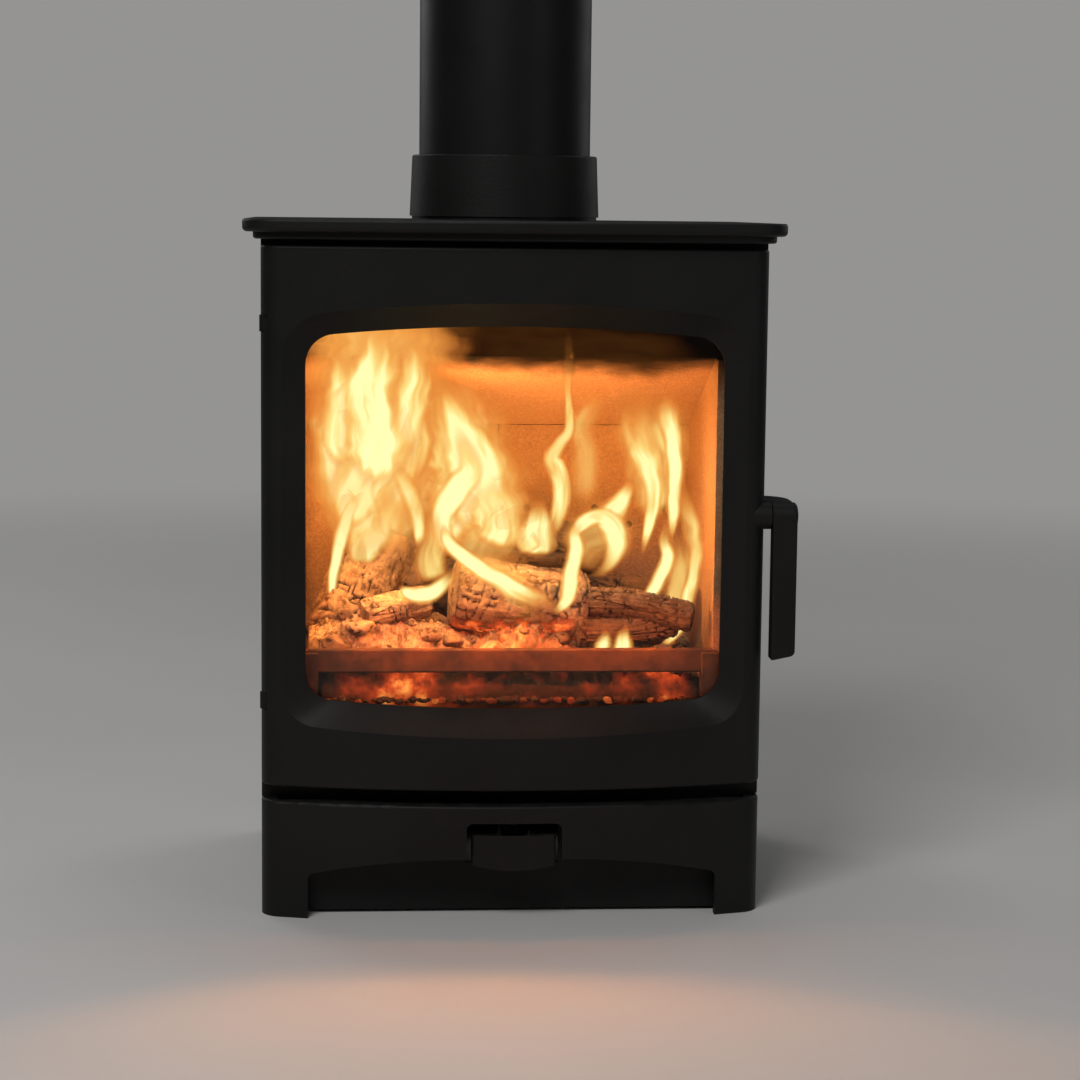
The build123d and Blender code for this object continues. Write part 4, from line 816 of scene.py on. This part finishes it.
def firelight(name, place, power, radius, colour):
    """A small warm lamp inside the flames, which doesn't show in the glass."""
    lamp = bpy.data.lights.new(name, "POINT")
    lamp.energy, lamp.shadow_soft_size, lamp.color = power, radius, colour
    light = bpy.data.objects.new(name, lamp)
    light.location = place
    light.visible_glossy = False
    bpy.context.scene.collection.objects.link(light)


def glow_strip(name, place, size, power, colour, aim):
    """The light of the flames that comes back from the glass on to the guard and the hearth's front."""
    soft_light(name, place, size, power, colour, aim)
    strip = bpy.data.objects[name]
    strip.visible_camera = strip.visible_glossy = strip.visible_transmission = False


def standing_camera(place, yaw, pitch, roll, lens):
    """Looks along +Y, turned yaw to the right and pitch downwards, then rolled; angles in degrees."""
    y, p, r = (math.radians(angle) for angle in (yaw, pitch, roll))
    ahead = Vector((math.sin(y) * math.cos(p), math.cos(y) * math.cos(p), -math.sin(p)))
    right = Vector((math.cos(y), -math.sin(y), 0.0))
    up = right.cross(ahead)
    rolled_right = right * math.cos(r) + up * math.sin(r)
    rolled_up = up * math.cos(r) - right * math.sin(r)
    data = bpy.data.cameras.new("camera")
    data.sensor_width, data.lens = 36.0, lens
    camera = bpy.data.objects.new("camera", data)
    turn = Matrix((rolled_right, rolled_up, -ahead)).transposed()
    camera.matrix_world = Matrix.Translation(place) @ turn.to_4x4()
    bpy.context.scene.collection.objects.link(camera)
    bpy.context.scene.camera = camera


def plain_surroundings():
    """A mid grey behind everything, with only a faint light of its own on the stove."""
    world = bpy.data.worlds.new("studio")
    world.use_nodes = True
    tree = world.node_tree
    seen = tree.nodes["Background"]
    seen.inputs["Color"].default_value = (0.30, 0.297, 0.292, 1.0)
    ambient = tree.nodes.new("ShaderNodeBackground")
    ambient.inputs["Color"].default_value = (0.058, 0.058, 0.060, 1.0)
    path, choose = tree.nodes.new("ShaderNodeLightPath"), tree.nodes.new("ShaderNodeMixShader")
    tree.links.new(path.outputs["Is Camera Ray"], choose.inputs[0])
    tree.links.new(ambient.outputs[0], choose.inputs[1])
    tree.links.new(seen.outputs[0], choose.inputs[2])
    tree.links.new(choose.outputs[0], tree.nodes["World Output"].inputs["Surface"])
    bpy.context.scene.world = world


def studio():
    """The soft studio lights, the fire's own light, the floor, and a camera at the photo's angle."""
    scene = bpy.context.scene
    scene.view_settings.view_transform = "Standard"
    plain_surroundings()
    soft_light("key", (-1.0, -2.2, 2.5), (1.3, 0.9), 44.0)
    soft_light("fill", (1.9, -1.9, 1.0), (0.9, 1.4), 4.0)
    soft_light("top", (0.0, 0.5, 2.8), (1.2, 0.8), 10.0)
    soft_light("back_left", (-1.6, 2.0, 1.5), (1.0, 1.4), 9.0)
    soft_light("back_right", (1.8, 1.6, 1.2), (1.0, 1.4), 3.5)
    firelight("fire_left", (-0.112, -0.050, 0.375), 2.7, 0.040, ORANGE)
    firelight("fire_left_low", (-0.150, -0.090, 0.330), 0.60, 0.030, ORANGE)
    firelight("fire_middle", (-0.030, -0.070, 0.345), 1.15, 0.035, ORANGE)
    firelight("fire_right", (0.118, -0.060, 0.330), 0.30, 0.030, DEEP_ORANGE)
    firelight("fire_front", (-0.026, -0.108, 0.318), 1.10, 0.025, ORANGE)
    glow_strip("fire_before_guard", (0.0, -0.1455, 0.268), (0.32, 0.008), 0.50, RED_ORANGE,
               (0.0, -0.128, 0.190))
    pale_floor()
    standing_camera((-0.1512, -2.4075, 0.611), 4.39, 7.136, 0.632, 88.33)
    scene.cycles.transparent_max_bounces = 48


studio()
